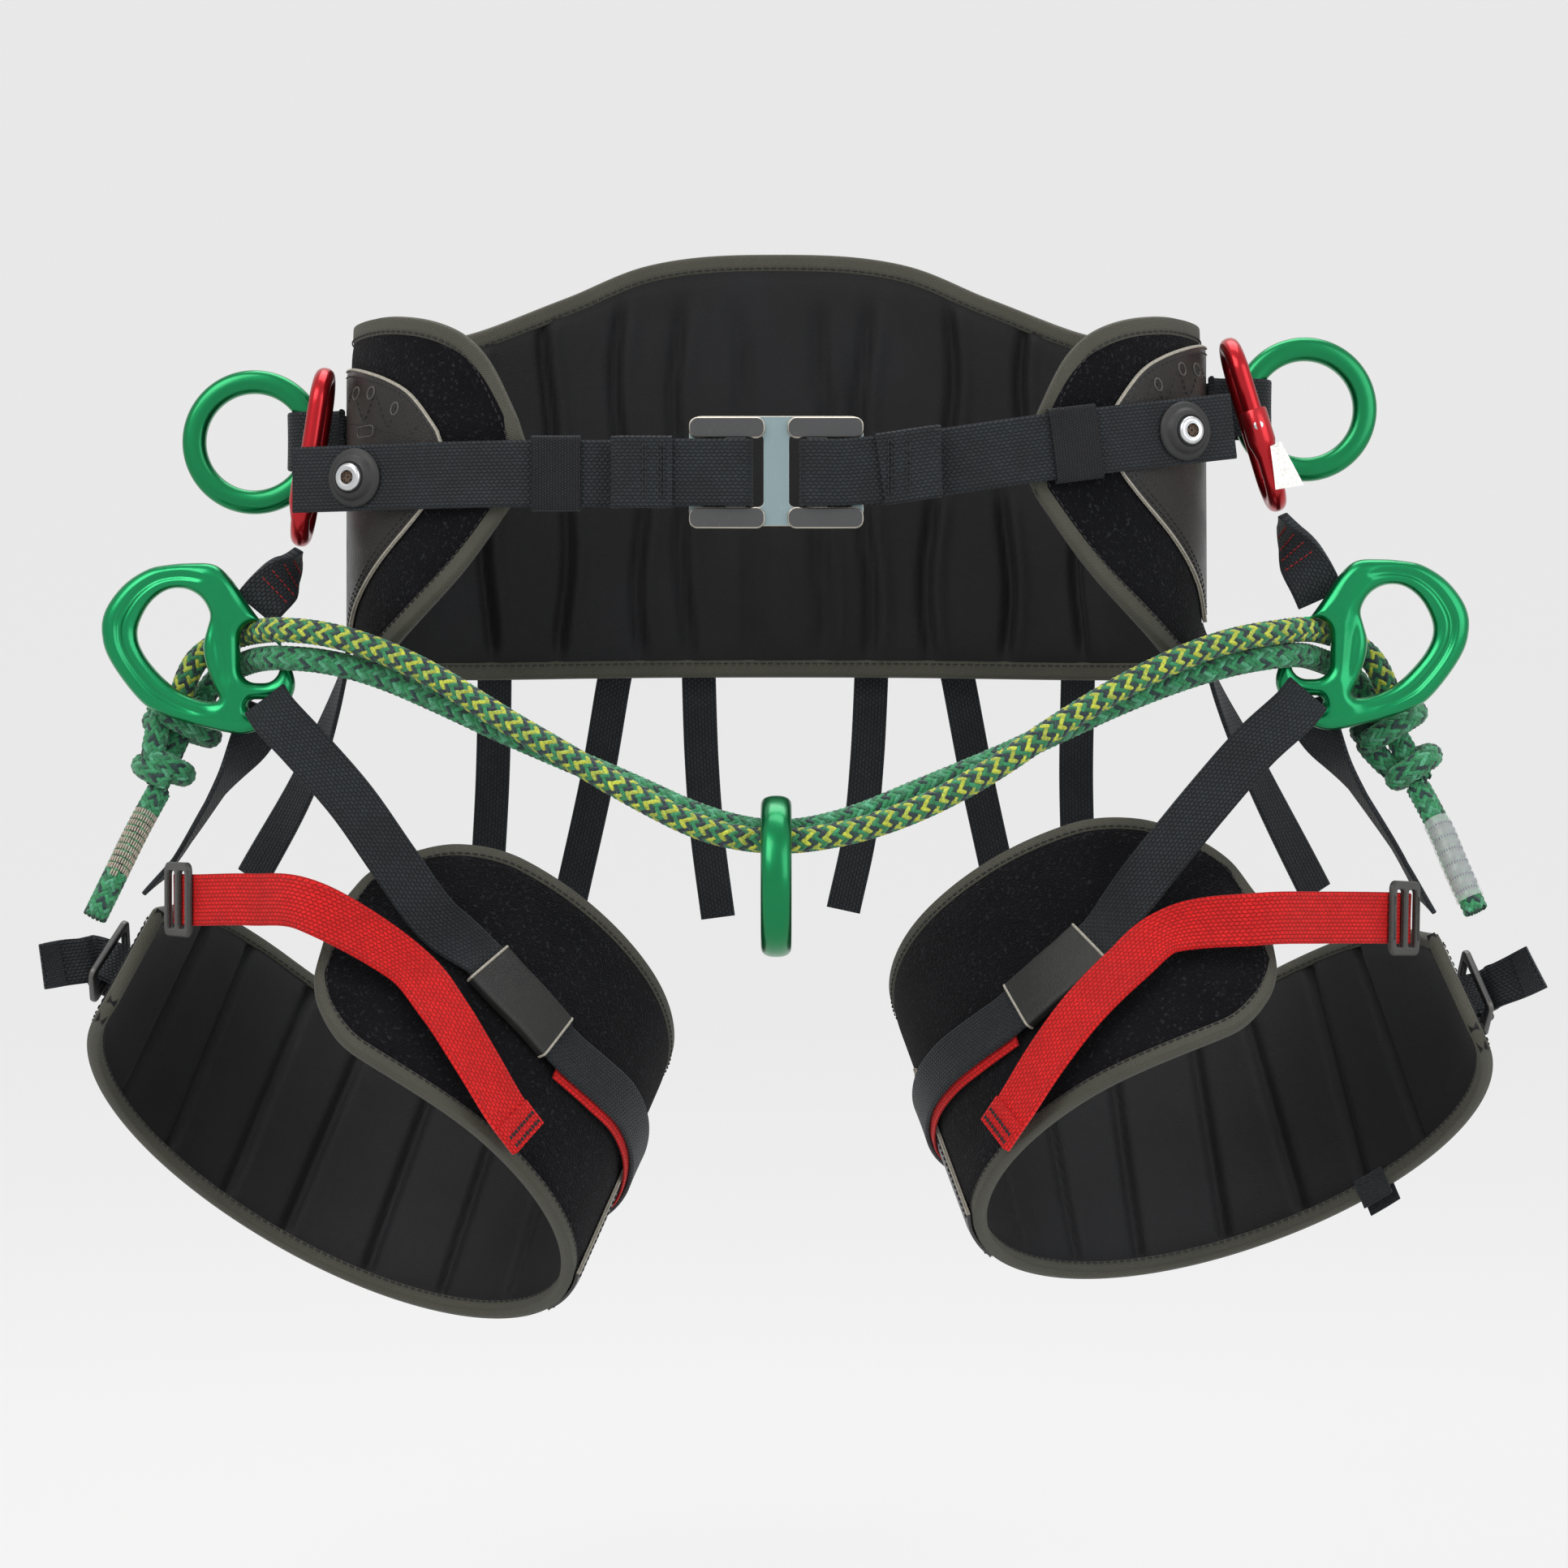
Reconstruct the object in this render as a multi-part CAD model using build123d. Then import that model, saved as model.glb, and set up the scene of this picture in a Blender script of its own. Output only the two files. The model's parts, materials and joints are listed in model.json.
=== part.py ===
from build123d import *
from math import cos, pi, radians, sin, tan
import os

os.makedirs("parts", exist_ok=True)

# Frame: origin at the middle of the waist opening, +X to the wearer's left as seen
# from the front, +Y to the wearer's back, +Z up. The sides are "left" (X < 0) and
# "right" (X > 0) as seen from the front. All sizes in millimetres.

# waist pad
hoop_half_width = 214.0
hoop_half_depth = 116.0
hoop_squareness = 0.7  # 1 is an ellipse, less is squarer
pad_thickness = 9.0
layer_gap = 0.4  # between soft layers that lie on each other
pad_top = [(0, 123), (11.5, 117), (23.7, 99), (43, 78), (62, 71), (90, 69), (104, 70), (124, 70),
           (138, 63), (145.5, 48), (151.3, 17), (153, 3)]
pad_bottom = [(0, -105), (43, -107), (90, -108), (104, -107), (112, -104), (118, -98),
              (131.4, -77), (141.7, -54), (151.3, -20), (153, -8)]
hip_band_width = 44.0
hip_band_height = -22.0
webbing_thickness = 2.4
leather_thickness = 2.2
leather_top = [(97, 47), (105, 46.5), (115, 43), (124, 37), (130, 29), (136, 12), (137.5, 4)]
leather_bottom = [(97, -92), (106, -75), (118, -54), (128, -36), (134, -22), (136, -14), (137.5, -6)]
leather_rise = {"left": 0.0, "right": 12.0}

# front belt and its buckle
belt_width = 33.0
belt_front = -116.0  # Y of the belt across the front
belt_level = {"left": -10.5, "right": -10.5}
belt_rise = {"left": 0.0, "right": 0.145}  # how it climbs towards the side
belt_over_wing = [(178.0, -96.9), (168.0, -102.2), (159.0, -105.8), (150.0, -109.0), (136.0, -113.0),
                  (122.0, -115.6)]
belt_end = {"left": (243.0, -65.5), "right": (229.0, -70.0)}
belt_hinge = 187.0
belt_cut = 1.6  # half the gap between the fixed end and the strap
keeper_length = 24.0
keeper_wall = 1.6
keeper_clearance = 0.5
buckle_width = 86.0
buckle_lobe = 9.75  # height of each lobe, above and below the belt
belt_room = 0.75  # above and below the belt in its frame
plate_room = 1.25  # and in the plate
buckle_corner = 6.0
plate_thickness = 3.0
plate_level = -9.5
plate_bar = 13.0
plate_gap = 0.3
frame_thickness = 4.0
frame_length = 37.5
frame_bar = 10.0
frame_bar_place = 20.0
wrap_radius = 5.3
tail_end = 78.0
screw_place = {"left": -210.0, "right": 203.0}
screw_shank = 3.0
screw_clearance = 0.3
screw_head = (7.0, 2.4)
washer_radius = 14.5
washer_height = 6.0

# hardware rings
side_ring_radius = 31.2
side_ring_tube = 6.2
side_ring_centre = {"left": (-271.0, 8.0, 14.0), "right": (274.0, 8.0, 31.0)}
side_loop_height = 30.0
loop_clearance = 1.6
gated_ring_size = (42.0, 92.0)
gated_ring_tube = 4.8
gated_ring_ends = {"left": (-229.0, 49.0, -243.0, -43.0), "right": (229.0, 64.0, 256.0, -25.0)}
gated_ring_depth = -38.0
gate_boss = {"left": -16.0, "right": -2.0}  # middle of the boss along the ring
gate_boss_radius = 7.0
gate_boss_length = 17.0
gate_screw_radius = 3.2
gate_pocket_radius = 4.4
bridge_ring_centre = {"left": (-304.0, -60.0, -93.0), "right": (313.0, -60.0, -91.0)}
bridge_ring_thickness = 13.0
bridge_ring_hole = (58.0, 36.0)
rope_hole = (21.0, 34.0)
rope_hole_corner = 7.0
leg_slot = (17.0, 8.0)
centre_ring_inner = 29.0
centre_ring_section = (10.5, 15.0)  # radial, along the rope
centre_ring_middle = (0.0, -133.0, -208.5)

# bridge ropes
rope_diameter = 12.5
yellow_route = [
    (-304, -38, -122), (-300, -37, -104), (-286, -37, -92), (-270, -43, -87), (-259, -60, -86),
    (-248, -77, -86), (-226, -87, -88), (-201, -95, -95), (-170, -103, -109), (-137, -113, -130),
    (-102, -122, -150), (-68, -130, -170), (-34, -136, -187), (0, -139, -192.5), (34, -137, -188),
    (68, -132, -177), (103, -124, -159), (138, -115, -135), (171, -106, -115), (202, -97, -100),
    (228, -88, -91), (252, -77, -87), (267, -60, -85), (279, -43, -86), (294, -37, -91),
    (308, -37, -104), (313, -38, -122),
]
green_route = [
    (-296, -25, -124), (-290, -24, -112), (-279, -29, -105), (-267, -44, -101), (-258, -60, -100),
    (-247, -75, -100), (-224, -80, -102), (-198, -85, -109), (-168, -91, -122), (-136, -99, -137),
    (-103, -108, -151), (-69, -117, -165), (-35, -124, -181), (0, -127.5, -188.5), (35, -124, -182),
    (70, -118, -167), (105, -110, -153), (138, -101, -138), (170, -93, -123), (201, -86, -111),
    (228, -80, -103), (252, -75, -99), (265, -60, -98), (275, -44, -100), (288, -29, -104),
    (299, -24, -112), (305, -25, -124),
]
tail_routes = {
    "left": [(-314, -42, -167), (-323, -55, -186), (-332, -66, -208), (-342, -72, -230)],
    "right": [(326, -42, -165), (335, -55, -184), (342, -66, -206), (351, -72, -227)],
}
knot_places = {"left": ((-303, -32, -134), (-312, -38, -156)), "right": ((313, -32, -133), (324, -38, -154))}
knot_radii = (21.0, 16.5)
knot_heights = (28.0, 24.0)
knot_rounding = 9.0
sleeve_wall = 0.8
sleeve_reach = 0.75  # how far along the last run the sleeve ends

# leg loops
leg_width = 136.0  # half the long way across the loop
leg_depth = 106.0
leg_tilt = 36.0
leg_pad_thickness = 8.0
legs = {
    "left": {"centre": (-229.0, -30.0, -355.0), "turn": 29.0, "lean": 24.0},
    "right": {"centre": (234.0, -30.0, -348.0), "turn": 19.0, "lean": 20.0},
}
leg_low = [(-112, 62), (-109, 30), (-103, 10), (-94, 0), (-60, 0), (0, 0), (90, 0), (185, 0), (190, 8)]
leg_high = [(-112, 70), (-109, 96), (-103, 117), (-94, 136), (-80, 148), (-40, 152), (0, 150),
            (40, 152), (120, 148), (150, 128), (175, 88), (190, 70)]
leg_leather_span = (-8.0, 16.0)
leg_leather_heights = (3.0, 96.0)

# leg and riser webbing
leg_strap_width = 25.0
wrap_room = 1.7  # strap off the leather, for the bends between its points
leg_strap_route = {
    "left": [(-257, -70, -121), (-252, -76, -128), (-236, -80, -145), (-212, -85, -172), (-190, -88, -203),
             (-170, -84, -231)],
    "right": [(267, -70, -118), (260, -76, -126), (240, -80, -144), (215, -84, -172), (188, -86, -205)],
}
leg_strap_wrap = {
    "left": [(-80, 80), (-73, 75), (-66, 72), (-54, 68), (-42, 72), (-30, 78), (-16, 80), (0, 78), (18, 76), (40, 76), (64, 78),
             (90, 82), (116, 84), (142, 80), (162, 74)],
    "right": [(-77, 74), (-70, 68), (-63, 64), (-52, 60), (-41, 62), (-30, 66), (-16, 70), (0, 72), (18, 74), (40, 76), (64, 78),
              (90, 82), (116, 84), (142, 80), (162, 74)],
}
red_width = 26.0
red_route = {
    "left": [(-306, -38, -222), (-294, -58, -222), (-262, -88, -221), (-232, -112, -223)],
    "right": [(322, -38, -232), (308, -58, -231), (272, -88, -230), (238, -112, -230)],
}
red_wrap = {"left": [(-92, 50), (-82, 38), (-72, 24), (-62, 12), (-55, 8)],
            "right": [(-90, 58), (-80, 48), (-69, 36), (-58, 22), (-48, 10), (-40, 4)]}
leg_keeper_wall = 1.8
leg_keeper_clearance = 0.4
lock_size = (30.0, 38.0, 3.0)
lock_rail = 4.5
lock_place = 0.45  # along the first run of the red strap
leg_tail = {
    "left": [(-359, 11, -255), (-369, 4, -256), (-380, -1, -258)],
    "right": [(374, 11, -268), (384, 4, -263), (393, -1, -258)],
}
leg_tail_width = 24.0
leg_buckle_size = (40.0, 28.0, 3.5)
leg_buckle_rail = 5.0
leg_buckle_place = (170.0, 52.0, 13.0)  # angle, height and offset on the leg loop
riser_width = 18.5
risers = {
    "left": {
        "rear_riser": [(-153, 108.2, -86), (-153, 113, -104), (-155, 128, -160), (-160, 146, -230), (-164, 158, -288)],
        "rear_cross_riser": [(-84, 119.8, -86), (-88, 122, -104), (-98, 130, -160), (-114, 144, -230),
                             (-128, 155, -292)],
        "outer_riser": [(-221, 10, -84), (-226, 24, -106), (-250, 66, -160), (-284, 112, -214)],
        "loose": [(-43, 121.5, -88), (-41, 123, -150), (-38, 123, -190), (-32, 121, -236)],
    },
    "right": {
        "rear_riser": [(163, 107.2, -86), (163, 112, -104), (163, 128, -160), (166, 146, -230), (168, 158, -284)],
        "rear_cross_riser": [(94, 119.4, -86), (98, 121.5, -104), (109, 130, -160), (124, 144, -228), (134, 155, -286)],
        "outer_riser": [(222, 12, -84), (227, 26, -106), (256, 68, -160), (292, 114, -222)],
        "loose": [(52, 121.5, -88), (49, 123, -150), (45, 123, -190), (36, 121, -232)],
    },
}
side_riser = {
    "left": [(-260, -43, -124), (-267, -39, -141), (-286, -34, -170), (-306, -16, -198), (-322, -4, -216)],
    "right": [(270, -43, -121), (277, -39, -139), (297, -34, -168), (320, -16, -200), (336, -4, -226)],
}
hip_strap_width = 25.0
hip_strap_thickness = 4.8
hip_strap = {
    "left": [(-243, -40, -47), (-247, -42, -54), (-252, -46, -61), (-259, -50, -69), (-264, -50, -75)],
    "right": [(257, -40, -29), (261, -42, -38), (266, -46, -49), (272, -50, -61), (276, -50, -70)],
}
hip_strap_ways = [(0, 1, 0), (0.3, 0.9, -0.2), (0.7, 0.5, -0.5), (0.81, 0, -0.59), (0.81, 0, -0.59)]

# ---------------------------------------------------------------- helpers
def value_at(table, t):
    """Value at t on a smooth curve through the (t, value) rows."""
    t = min(max(t, table[0][0]), table[-1][0])
    i = max(k for k in range(len(table) - 1) if table[k][0] <= t)
    slope = [0.0] * len(table)
    for k in range(1, len(table) - 1):
        slope[k] = (table[k + 1][1] - table[k - 1][1]) / (table[k + 1][0] - table[k - 1][0])
    (t0, a), (t1, b) = table[i], table[i + 1]
    span = t1 - t0
    u = (t - t0) / span
    h = u * u * (3 - 2 * u)
    return a + (b - a) * h + span * (slope[i] * u * (1 - u) ** 2 - slope[i + 1] * u * u * (1 - u))


def section(middle, across, out, width, thick):
    """A rectangle of webbing seen end on."""
    w = across.normalized() * (width / 2)
    n = out.normalized() * (thick / 2)
    return Wire.make_polygon([middle + w + n, middle - w + n, middle - w - n, middle + w - n], close=True)


def band(points, acrosses, width, thick):
    """Flat webbing through points; acrosses gives its width direction at each."""
    points = [Vector(*p) for p in points]
    acrosses = [Vector(*a) for a in acrosses]
    sections = []
    for i, (p, a) in enumerate(zip(points, acrosses)):
        before = points[max(i - 1, 0)]
        after = points[min(i + 1, len(points) - 1)]
        run = (after - before).normalized()
        out = run.cross(a).normalized()
        sections.append(section(p, out.cross(run), out, width, thick))
    return Solid.make_loft(sections, ruled=True)


def quad_loft(rows):
    """Ruled solid through quads of corner points."""
    return Solid.make_loft([Wire.make_polygon(row, close=True) for row in rows], ruled=True)


def write(name, shape):
    shape.label = name
    export_step(shape, f"parts/{name}.step")


# ---------------------------------------------------------------- waist pad
def power(value, exponent):
    return (1 if value >= 0 else -1) * abs(value) ** exponent


def hoop(angle, z=0.0, off=0.0):
    """Point off the pad's middle surface; angle 0 is the back, + is left."""
    a = radians(angle)
    x = -hoop_half_width * power(sin(a), hoop_squareness)
    y = hoop_half_depth * power(cos(a), hoop_squareness)
    return Vector(x, y, z) + hoop_out(angle) * off


def hoop_out(angle):
    step = 0.5
    ends = []
    for t in (radians(angle - step), radians(angle + step)):
        x = -hoop_half_width * power(sin(t), hoop_squareness)
        y = hoop_half_depth * power(cos(t), hoop_squareness)
        ends.append(Vector(x, y, 0))
    run = (ends[1] - ends[0]).normalized()
    return Vector(run.Y, -run.X, 0)


def hoop_sheet(angles, top, bottom, inner, outer):
    """Sheet that follows the hoop between two offsets and two edges."""
    rows = []
    for a in angles:
        high = value_at(top, abs(a))
        low = value_at(bottom, abs(a))
        rows.append([hoop(a, high, inner), hoop(a, high, outer), hoop(a, low, outer), hoop(a, low, inner)])
    return quad_loft(rows)


pad_angles = [0, 8, 16, 24, 34, 45, 56, 68, 79, 90, 101, 109, 116, 123, 130, 136, 141, 145.5, 149, 151.5, 153]
pad_half = pad_thickness / 2
both_sides = [-a for a in reversed(pad_angles[1:])] + pad_angles
sides = {"left": -1, "right": 1}  # the sign of X


def belt_height(side, x):
    return belt_level[side] + belt_rise[side] * max(abs(x) - buckle_width / 2, 0)


def belt_point(side, x, y):
    return Vector(sides[side] * x, y, belt_height(side, x))


def belt_line(side, x):
    """Point of the belt's straight end over the wing, x from the middle."""
    start_x, start_y = belt_over_wing[0]
    end_x, end_y = belt_end[side]
    along = (x - start_x) / (end_x - start_x)
    return belt_point(side, x, start_y + along * (end_y - start_y))


def screw_axis(side):
    """Middle of the belt at the screw and the way the screw's head faces."""
    x = abs(screw_place[side])
    run = (belt_line(side, x + 1) - belt_line(side, x - 1)).normalized()
    out = run.cross(Vector(0, 0, 1)).normalized()
    return belt_line(side, x), out if out.Y < 0 else out * -1


def screw_hole(side, radius):
    middle, out = screw_axis(side)
    cylinder = Cylinder(radius, 120)
    return Plane(origin=middle, z_dir=out) * cylinder


def make_waist():
    pad = hoop_sheet(both_sides, pad_top, pad_bottom, -pad_half, pad_half)
    print("waist pad", round(pad.volume))
    for side in sides:
        pad = pad - screw_hole(side, screw_shank + screw_clearance)
    write("back_pad", pad)
    inner = pad_half + layer_gap
    edge = hip_band_width / 2
    top = [(0, hip_band_height + edge), (100, hip_band_height + edge)]
    bottom = [(0, hip_band_height - edge), (100, hip_band_height - edge)]
    angles = [a for a in both_sides if abs(a) <= 90]
    write("hip_band", hoop_sheet(angles, top, bottom, inner, inner + webbing_thickness))
    for side, sign in sides.items():
        top = [(a, z + leather_rise[side]) for a, z in leather_top]
        bottom = [(a, z + leather_rise[side]) for a, z in leather_bottom]
        angles = [-sign * a for a in (97, 102, 108, 114, 120, 126, 131, 135, 137.5)]
        panel = hoop_sheet(angles, top, bottom, inner, inner + leather_thickness)
        write(f"leather_panel_{side}", panel - screw_hole(side, screw_shank + screw_clearance))


# ---------------------------------------------------------------- front belt
def strap_route(side):
    """Belt from its hinge over the wing, round the frame's bar and back as a tail."""
    bar = frame_bar_place
    back = belt_front
    front = belt_front - 2 * wrap_radius
    turn = bar - frame_bar / 2 + wrap_radius / 2  # centre of the webbing's turn
    route = [belt_line(side, belt_hinge - belt_cut)]
    route += [belt_point(side, x, y) for x, y in belt_over_wing]
    route += [belt_point(side, 92, back), belt_point(side, 50, back), belt_point(side, bar + 2, back)]
    for angle in range(90, -91, -30):
        x = turn - wrap_radius * cos(radians(angle))
        y = (back + front) / 2 + wrap_radius * sin(radians(angle))
        route.append(belt_point(side, x, y))
    route += [belt_point(side, bar + 3, front), belt_point(side, bar + 12, front + 3.4)]
    route += [belt_point(side, 62, front + 4.2), belt_point(side, tail_end, front + 3.6)]
    return route


def upright(shape, middle_y, level):
    """Stands a flat shape, drawn in X and Z, at a depth and height."""
    return Plane(origin=(0, middle_y, level), x_dir=(1, 0, 0), z_dir=(0, -1, 0)) * shape


def make_buckle():
    width, lobe = buckle_width, buckle_lobe
    height = belt_width + 2 * belt_room + 2 * lobe
    plate = RectangleRounded(width, height, buckle_corner)
    window = (width - plate_bar) / 2
    for sign in (-1, 1):
        opening = RectangleRounded(window + buckle_corner, belt_width + 2 * plate_room, 2.5)
        plate -= Pos(sign * (plate_bar / 2 + (window + buckle_corner) / 2), 0) * opening
    plate = extrude(plate, plate_thickness)
    plate_front = belt_front - 3.0
    write("buckle_plate", upright(plate, plate_front + plate_thickness, plate_level))
    for side, sign in sides.items():
        middle = sign * (width - frame_length) / 2
        level = belt_level[side]
        frame = Pos(sign * frame_bar_place, 0) * Rectangle(frame_bar, height - lobe)
        for end in (-1, 1):
            frame += Pos(middle, end * (height - lobe) / 2) * RectangleRounded(frame_length, lobe, 4.4)
        frame = extrude(frame, frame_thickness)
        frame_back = plate_front - plate_gap
        write(f"buckle_frame_{side}", upright(frame, frame_back, level))


def keeper_route(side):
    if side == "left":
        return [belt_point(side, x, belt_front) for x in (96.5, 96.5 + keeper_length)]
    return [belt_point(side, x, y) for x, y in belt_over_wing[2:5]]


def make_belt():
    up = (0, 0, 1)
    for side, sign in sides.items():
        route = strap_route(side)
        write(f"belt_strap_{side}", band(route, [up] * len(route), belt_width, webbing_thickness))
        end = belt_line(side, belt_end[side][0])
        start = belt_line(side, belt_hinge + belt_cut)
        anchor = band([start, end], [up] * 2, belt_width, webbing_thickness)
        write(f"belt_anchor_{side}", anchor - screw_hole(side, screw_shank + screw_clearance))
        route = keeper_route(side)
        inner = 2 * keeper_clearance
        outer = inner + 2 * keeper_wall
        sleeve = band(route, [up] * len(route), belt_width + outer, webbing_thickness + outer)
        first = route[0] + (route[0] - route[1])
        last = route[-1] + (route[-1] - route[-2])
        longer = [first] + route[1:-1] + [last]
        sleeve -= band(longer, [up] * len(longer), belt_width + inner, webbing_thickness + inner)
        write(f"belt_keeper_{side}", sleeve)


def make_screws():
    washers = []
    screws = []
    for side in sides:
        middle, out = screw_axis(side)
        face = Plane(origin=middle + out * (webbing_thickness / 2), z_dir=out)
        dome = Cone(washer_radius, washer_radius * 0.55, washer_height, align=(Align.CENTER, Align.CENTER, Align.MIN))
        dome -= Cylinder(screw_shank + screw_clearance, 3 * washer_height)
        washers.append(face * dome)
        radius, thick = screw_head
        head = Pos(0, 0, washer_height) * Cylinder(radius, thick, align=(Align.CENTER, Align.CENTER, Align.MIN))
        shank_length = washer_height + webbing_thickness + 26
        shank = Pos(0, 0, washer_height) * Cylinder(
            screw_shank, shank_length, align=(Align.CENTER, Align.CENTER, Align.MAX))
        screws.append(face * (head + shank))
    write("belt_screws", Compound(screws))
    write("belt_washers", Compound(washers))


make_waist()
make_buckle()
make_belt()
make_screws()


# ---------------------------------------------------------------- rings
def ring_turned(radius, tube):
    return Rot(90, 0, 0) * Torus(radius, tube)


def side_loop(side):
    """Webbing loop that holds the side ring, sewn flat on the hip band."""
    sign = sides[side]
    x, y, z = side_ring_centre[side]
    axis_x = abs(x) - side_ring_radius
    bow = side_ring_radius - (side_ring_radius ** 2 - (side_loop_height / 2) ** 2) ** 0.5
    radius = side_ring_tube + bow + loop_clearance + webbing_thickness / 2
    on_band = hoop_half_width + pad_half + 2 * layer_gap + 1.5 * webbing_thickness
    points = [(on_band, y + radius + 22), (on_band + 0.4, y + radius + 9), (on_band + 5, y + radius + 1)]
    for angle in range(90, -91, -30):
        points.append((axis_x + radius * cos(radians(angle)), y + radius * sin(radians(angle))))
    points += [(on_band + 5, y - radius - 1), (on_band + 0.6, y - radius - 7), (on_band + 0.4, y - radius - 15)]
    route = [(sign * px, py, z) for px, py in points]
    return band(route, [(0, 0, 1)] * len(route), side_loop_height, webbing_thickness)


def gated_ring(side):
    """Long ring in a plane that holds Y, with a boss for its screw on the front bar."""
    top_x, top_z, low_x, low_z = gated_ring_ends[side]
    low = Vector(low_x, gated_ring_depth, low_z)
    top = Vector(top_x, gated_ring_depth, top_z)
    along = (top - low).normalized()
    middle = (top + low) * 0.5
    face = Plane(origin=middle, x_dir=along, z_dir=along.cross(Vector(0, 1, 0)))
    wide, tall = gated_ring_size
    centre_wide = wide - 2 * gated_ring_tube
    centre_tall = tall - 2 * gated_ring_tube
    path = SlotOverall(centre_tall, centre_wide).wire()
    start = path @ 0
    section_plane = Plane(origin=start, z_dir=path % 0)
    ring = sweep(section_plane * Circle(gated_ring_tube), path=path)
    bar = centre_wide / 2
    boss = Rot(0, 90, 0) * Cylinder(gate_boss_radius, gate_boss_length)
    pocket = Rot(0, 90, 0) * Cylinder(gate_pocket_radius, gate_boss_length)
    screw = Rot(0, 90, 0) * Cylinder(gate_screw_radius, gate_boss_length * 0.7)
    place = Pos(gate_boss[side], front_bar_sign(face) * bar, 0)
    opened = place * Pos(gate_boss_length * 0.3, 0, 0) * pocket
    ring = ring + place * boss - opened
    seat = Pos(gate_boss_length * 0.3, 0, 0)
    return face * ring, face * (place * seat * screw)


def front_bar_sign(face):
    return -1 if face.y_dir.Y > 0 else 1


def bridge_ring(side):
    """Forged ring: large oval for the lanyard, rope hole and slot for the leg webbing."""
    sign = -sides[side]
    outline = make_hull(
        (Pos(0, 4) * Circle(36)).edges() + (Pos(0, -6) * Circle(36.5)).edges()
        + (Pos(42, 9) * Circle(8)).edges() + (Pos(39, -23) * Circle(22)).edges())
    flat = outline - SlotOverall(*bridge_ring_hole, rotation=90)
    flat -= Pos(43.5, -5) * RectangleRounded(*rope_hole, rope_hole_corner)
    flat -= Pos(45.5, -30.5) * SlotOverall(leg_slot[0], leg_slot[1], rotation=-8)
    body = extrude(flat, bridge_ring_thickness / 2, both=True)
    if sign < 0:
        body = mirror(body, about=Plane.YZ)
    x, y, z = bridge_ring_centre[side]
    return Plane(origin=(x, y, z), x_dir=(1, 0, 0), z_dir=(0, -1, 0)) * body


def make_hip_strap(side):
    """Doubled webbing from under the gated ring down to the forged ring."""
    ways = [(-sides[side] * x, y, z) for x, y, z in hip_strap_ways]
    write(f"hip_strap_{side}", band(hip_strap[side], ways, hip_strap_width, hip_strap_thickness))


def make_rings():
    screws = []
    for side in sides:
        ring = Pos(*side_ring_centre[side]) * ring_turned(side_ring_radius, side_ring_tube)
        write(f"side_ring_{side}", ring)
        write(f"side_loop_{side}", side_loop(side))
        ring, screw = gated_ring(side)
        write(f"gated_ring_{side}", ring)
        screws.append(screw)
        write(f"bridge_ring_{side}", bridge_ring(side))
        make_hip_strap(side)
    write("gate_screws", Compound(screws))
    radial, wide = centre_ring_section
    middle = centre_ring_inner + radial / 2
    profile = Plane.XZ * (Pos(middle, 0) * Ellipse(radial / 2, wide / 2))
    ring = revolve(profile, Axis.Z)
    write("bridge_centre_ring", Pos(*centre_ring_middle) * Rot(0, 90, 0) * ring)


# ---------------------------------------------------------------- ropes
def rope_path(name, route):
    """Straight runs joined by the largest arcs that fit them."""
    points = [Vector(*p) for p in route]
    radii = []
    for before, here, after in zip(points, points[1:], points[2:]):
        turn = (here - before).get_angle(after - here)
        run = min((here - before).length, (after - here).length)
        radii.append(0.45 * run / tan(radians(turn / 2)))
    print(name, "radii in diameters", [round(r / rope_diameter, 1) for r in radii])
    return FilletPolyline(*[tuple(p) for p in points], radius=radii)


def rope(name, route):
    path = rope_path(name, route)
    start = Plane(origin=path @ 0, z_dir=path % 0)
    solid = sweep(start * Circle(rope_diameter / 2), path=path)
    ideal = pi * rope_diameter ** 2 / 4 * path.length
    print(name, "length", round(path.length), "volume over section times length", round(solid.volume / ideal, 4))
    return solid


def knot(side):
    parts = []
    upper, lower = [Vector(*p) for p in knot_places[side]]
    axis = (upper - lower).normalized()
    for middle, radius, height in zip((upper, lower), knot_radii, knot_heights):
        disc = Cylinder(radius, height)
        disc = fillet(disc.edges().filter_by(GeomType.CIRCLE), knot_rounding)
        parts.append(Plane(origin=middle, z_dir=axis) * disc)
    return parts[0] + parts[1]


def sleeve():
    """Shrink tube round the right tail, a little short of its end."""
    route = tail_routes["right"]
    last = Vector(*route[-2]) + (Vector(*route[-1]) - Vector(*route[-2])) * sleeve_reach
    path = rope_path("sleeve", [route[1], route[2], tuple(last)])
    start = Plane(origin=path @ 0, z_dir=path % 0)
    return sweep(start * Circle(rope_diameter / 2 + sleeve_wall), path=path) - rope("tail in sleeve", route)


def make_ropes():
    write("rope_yellow", rope("rope_yellow", yellow_route))
    write("rope_green", rope("rope_green", green_route))
    for side in sides:
        write(f"rope_knot_{side}", knot(side))
        write(f"rope_tail_{side}", rope(f"rope_tail_{side}", tail_routes[side]))
    write("rope_sleeve_right", sleeve())


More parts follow.
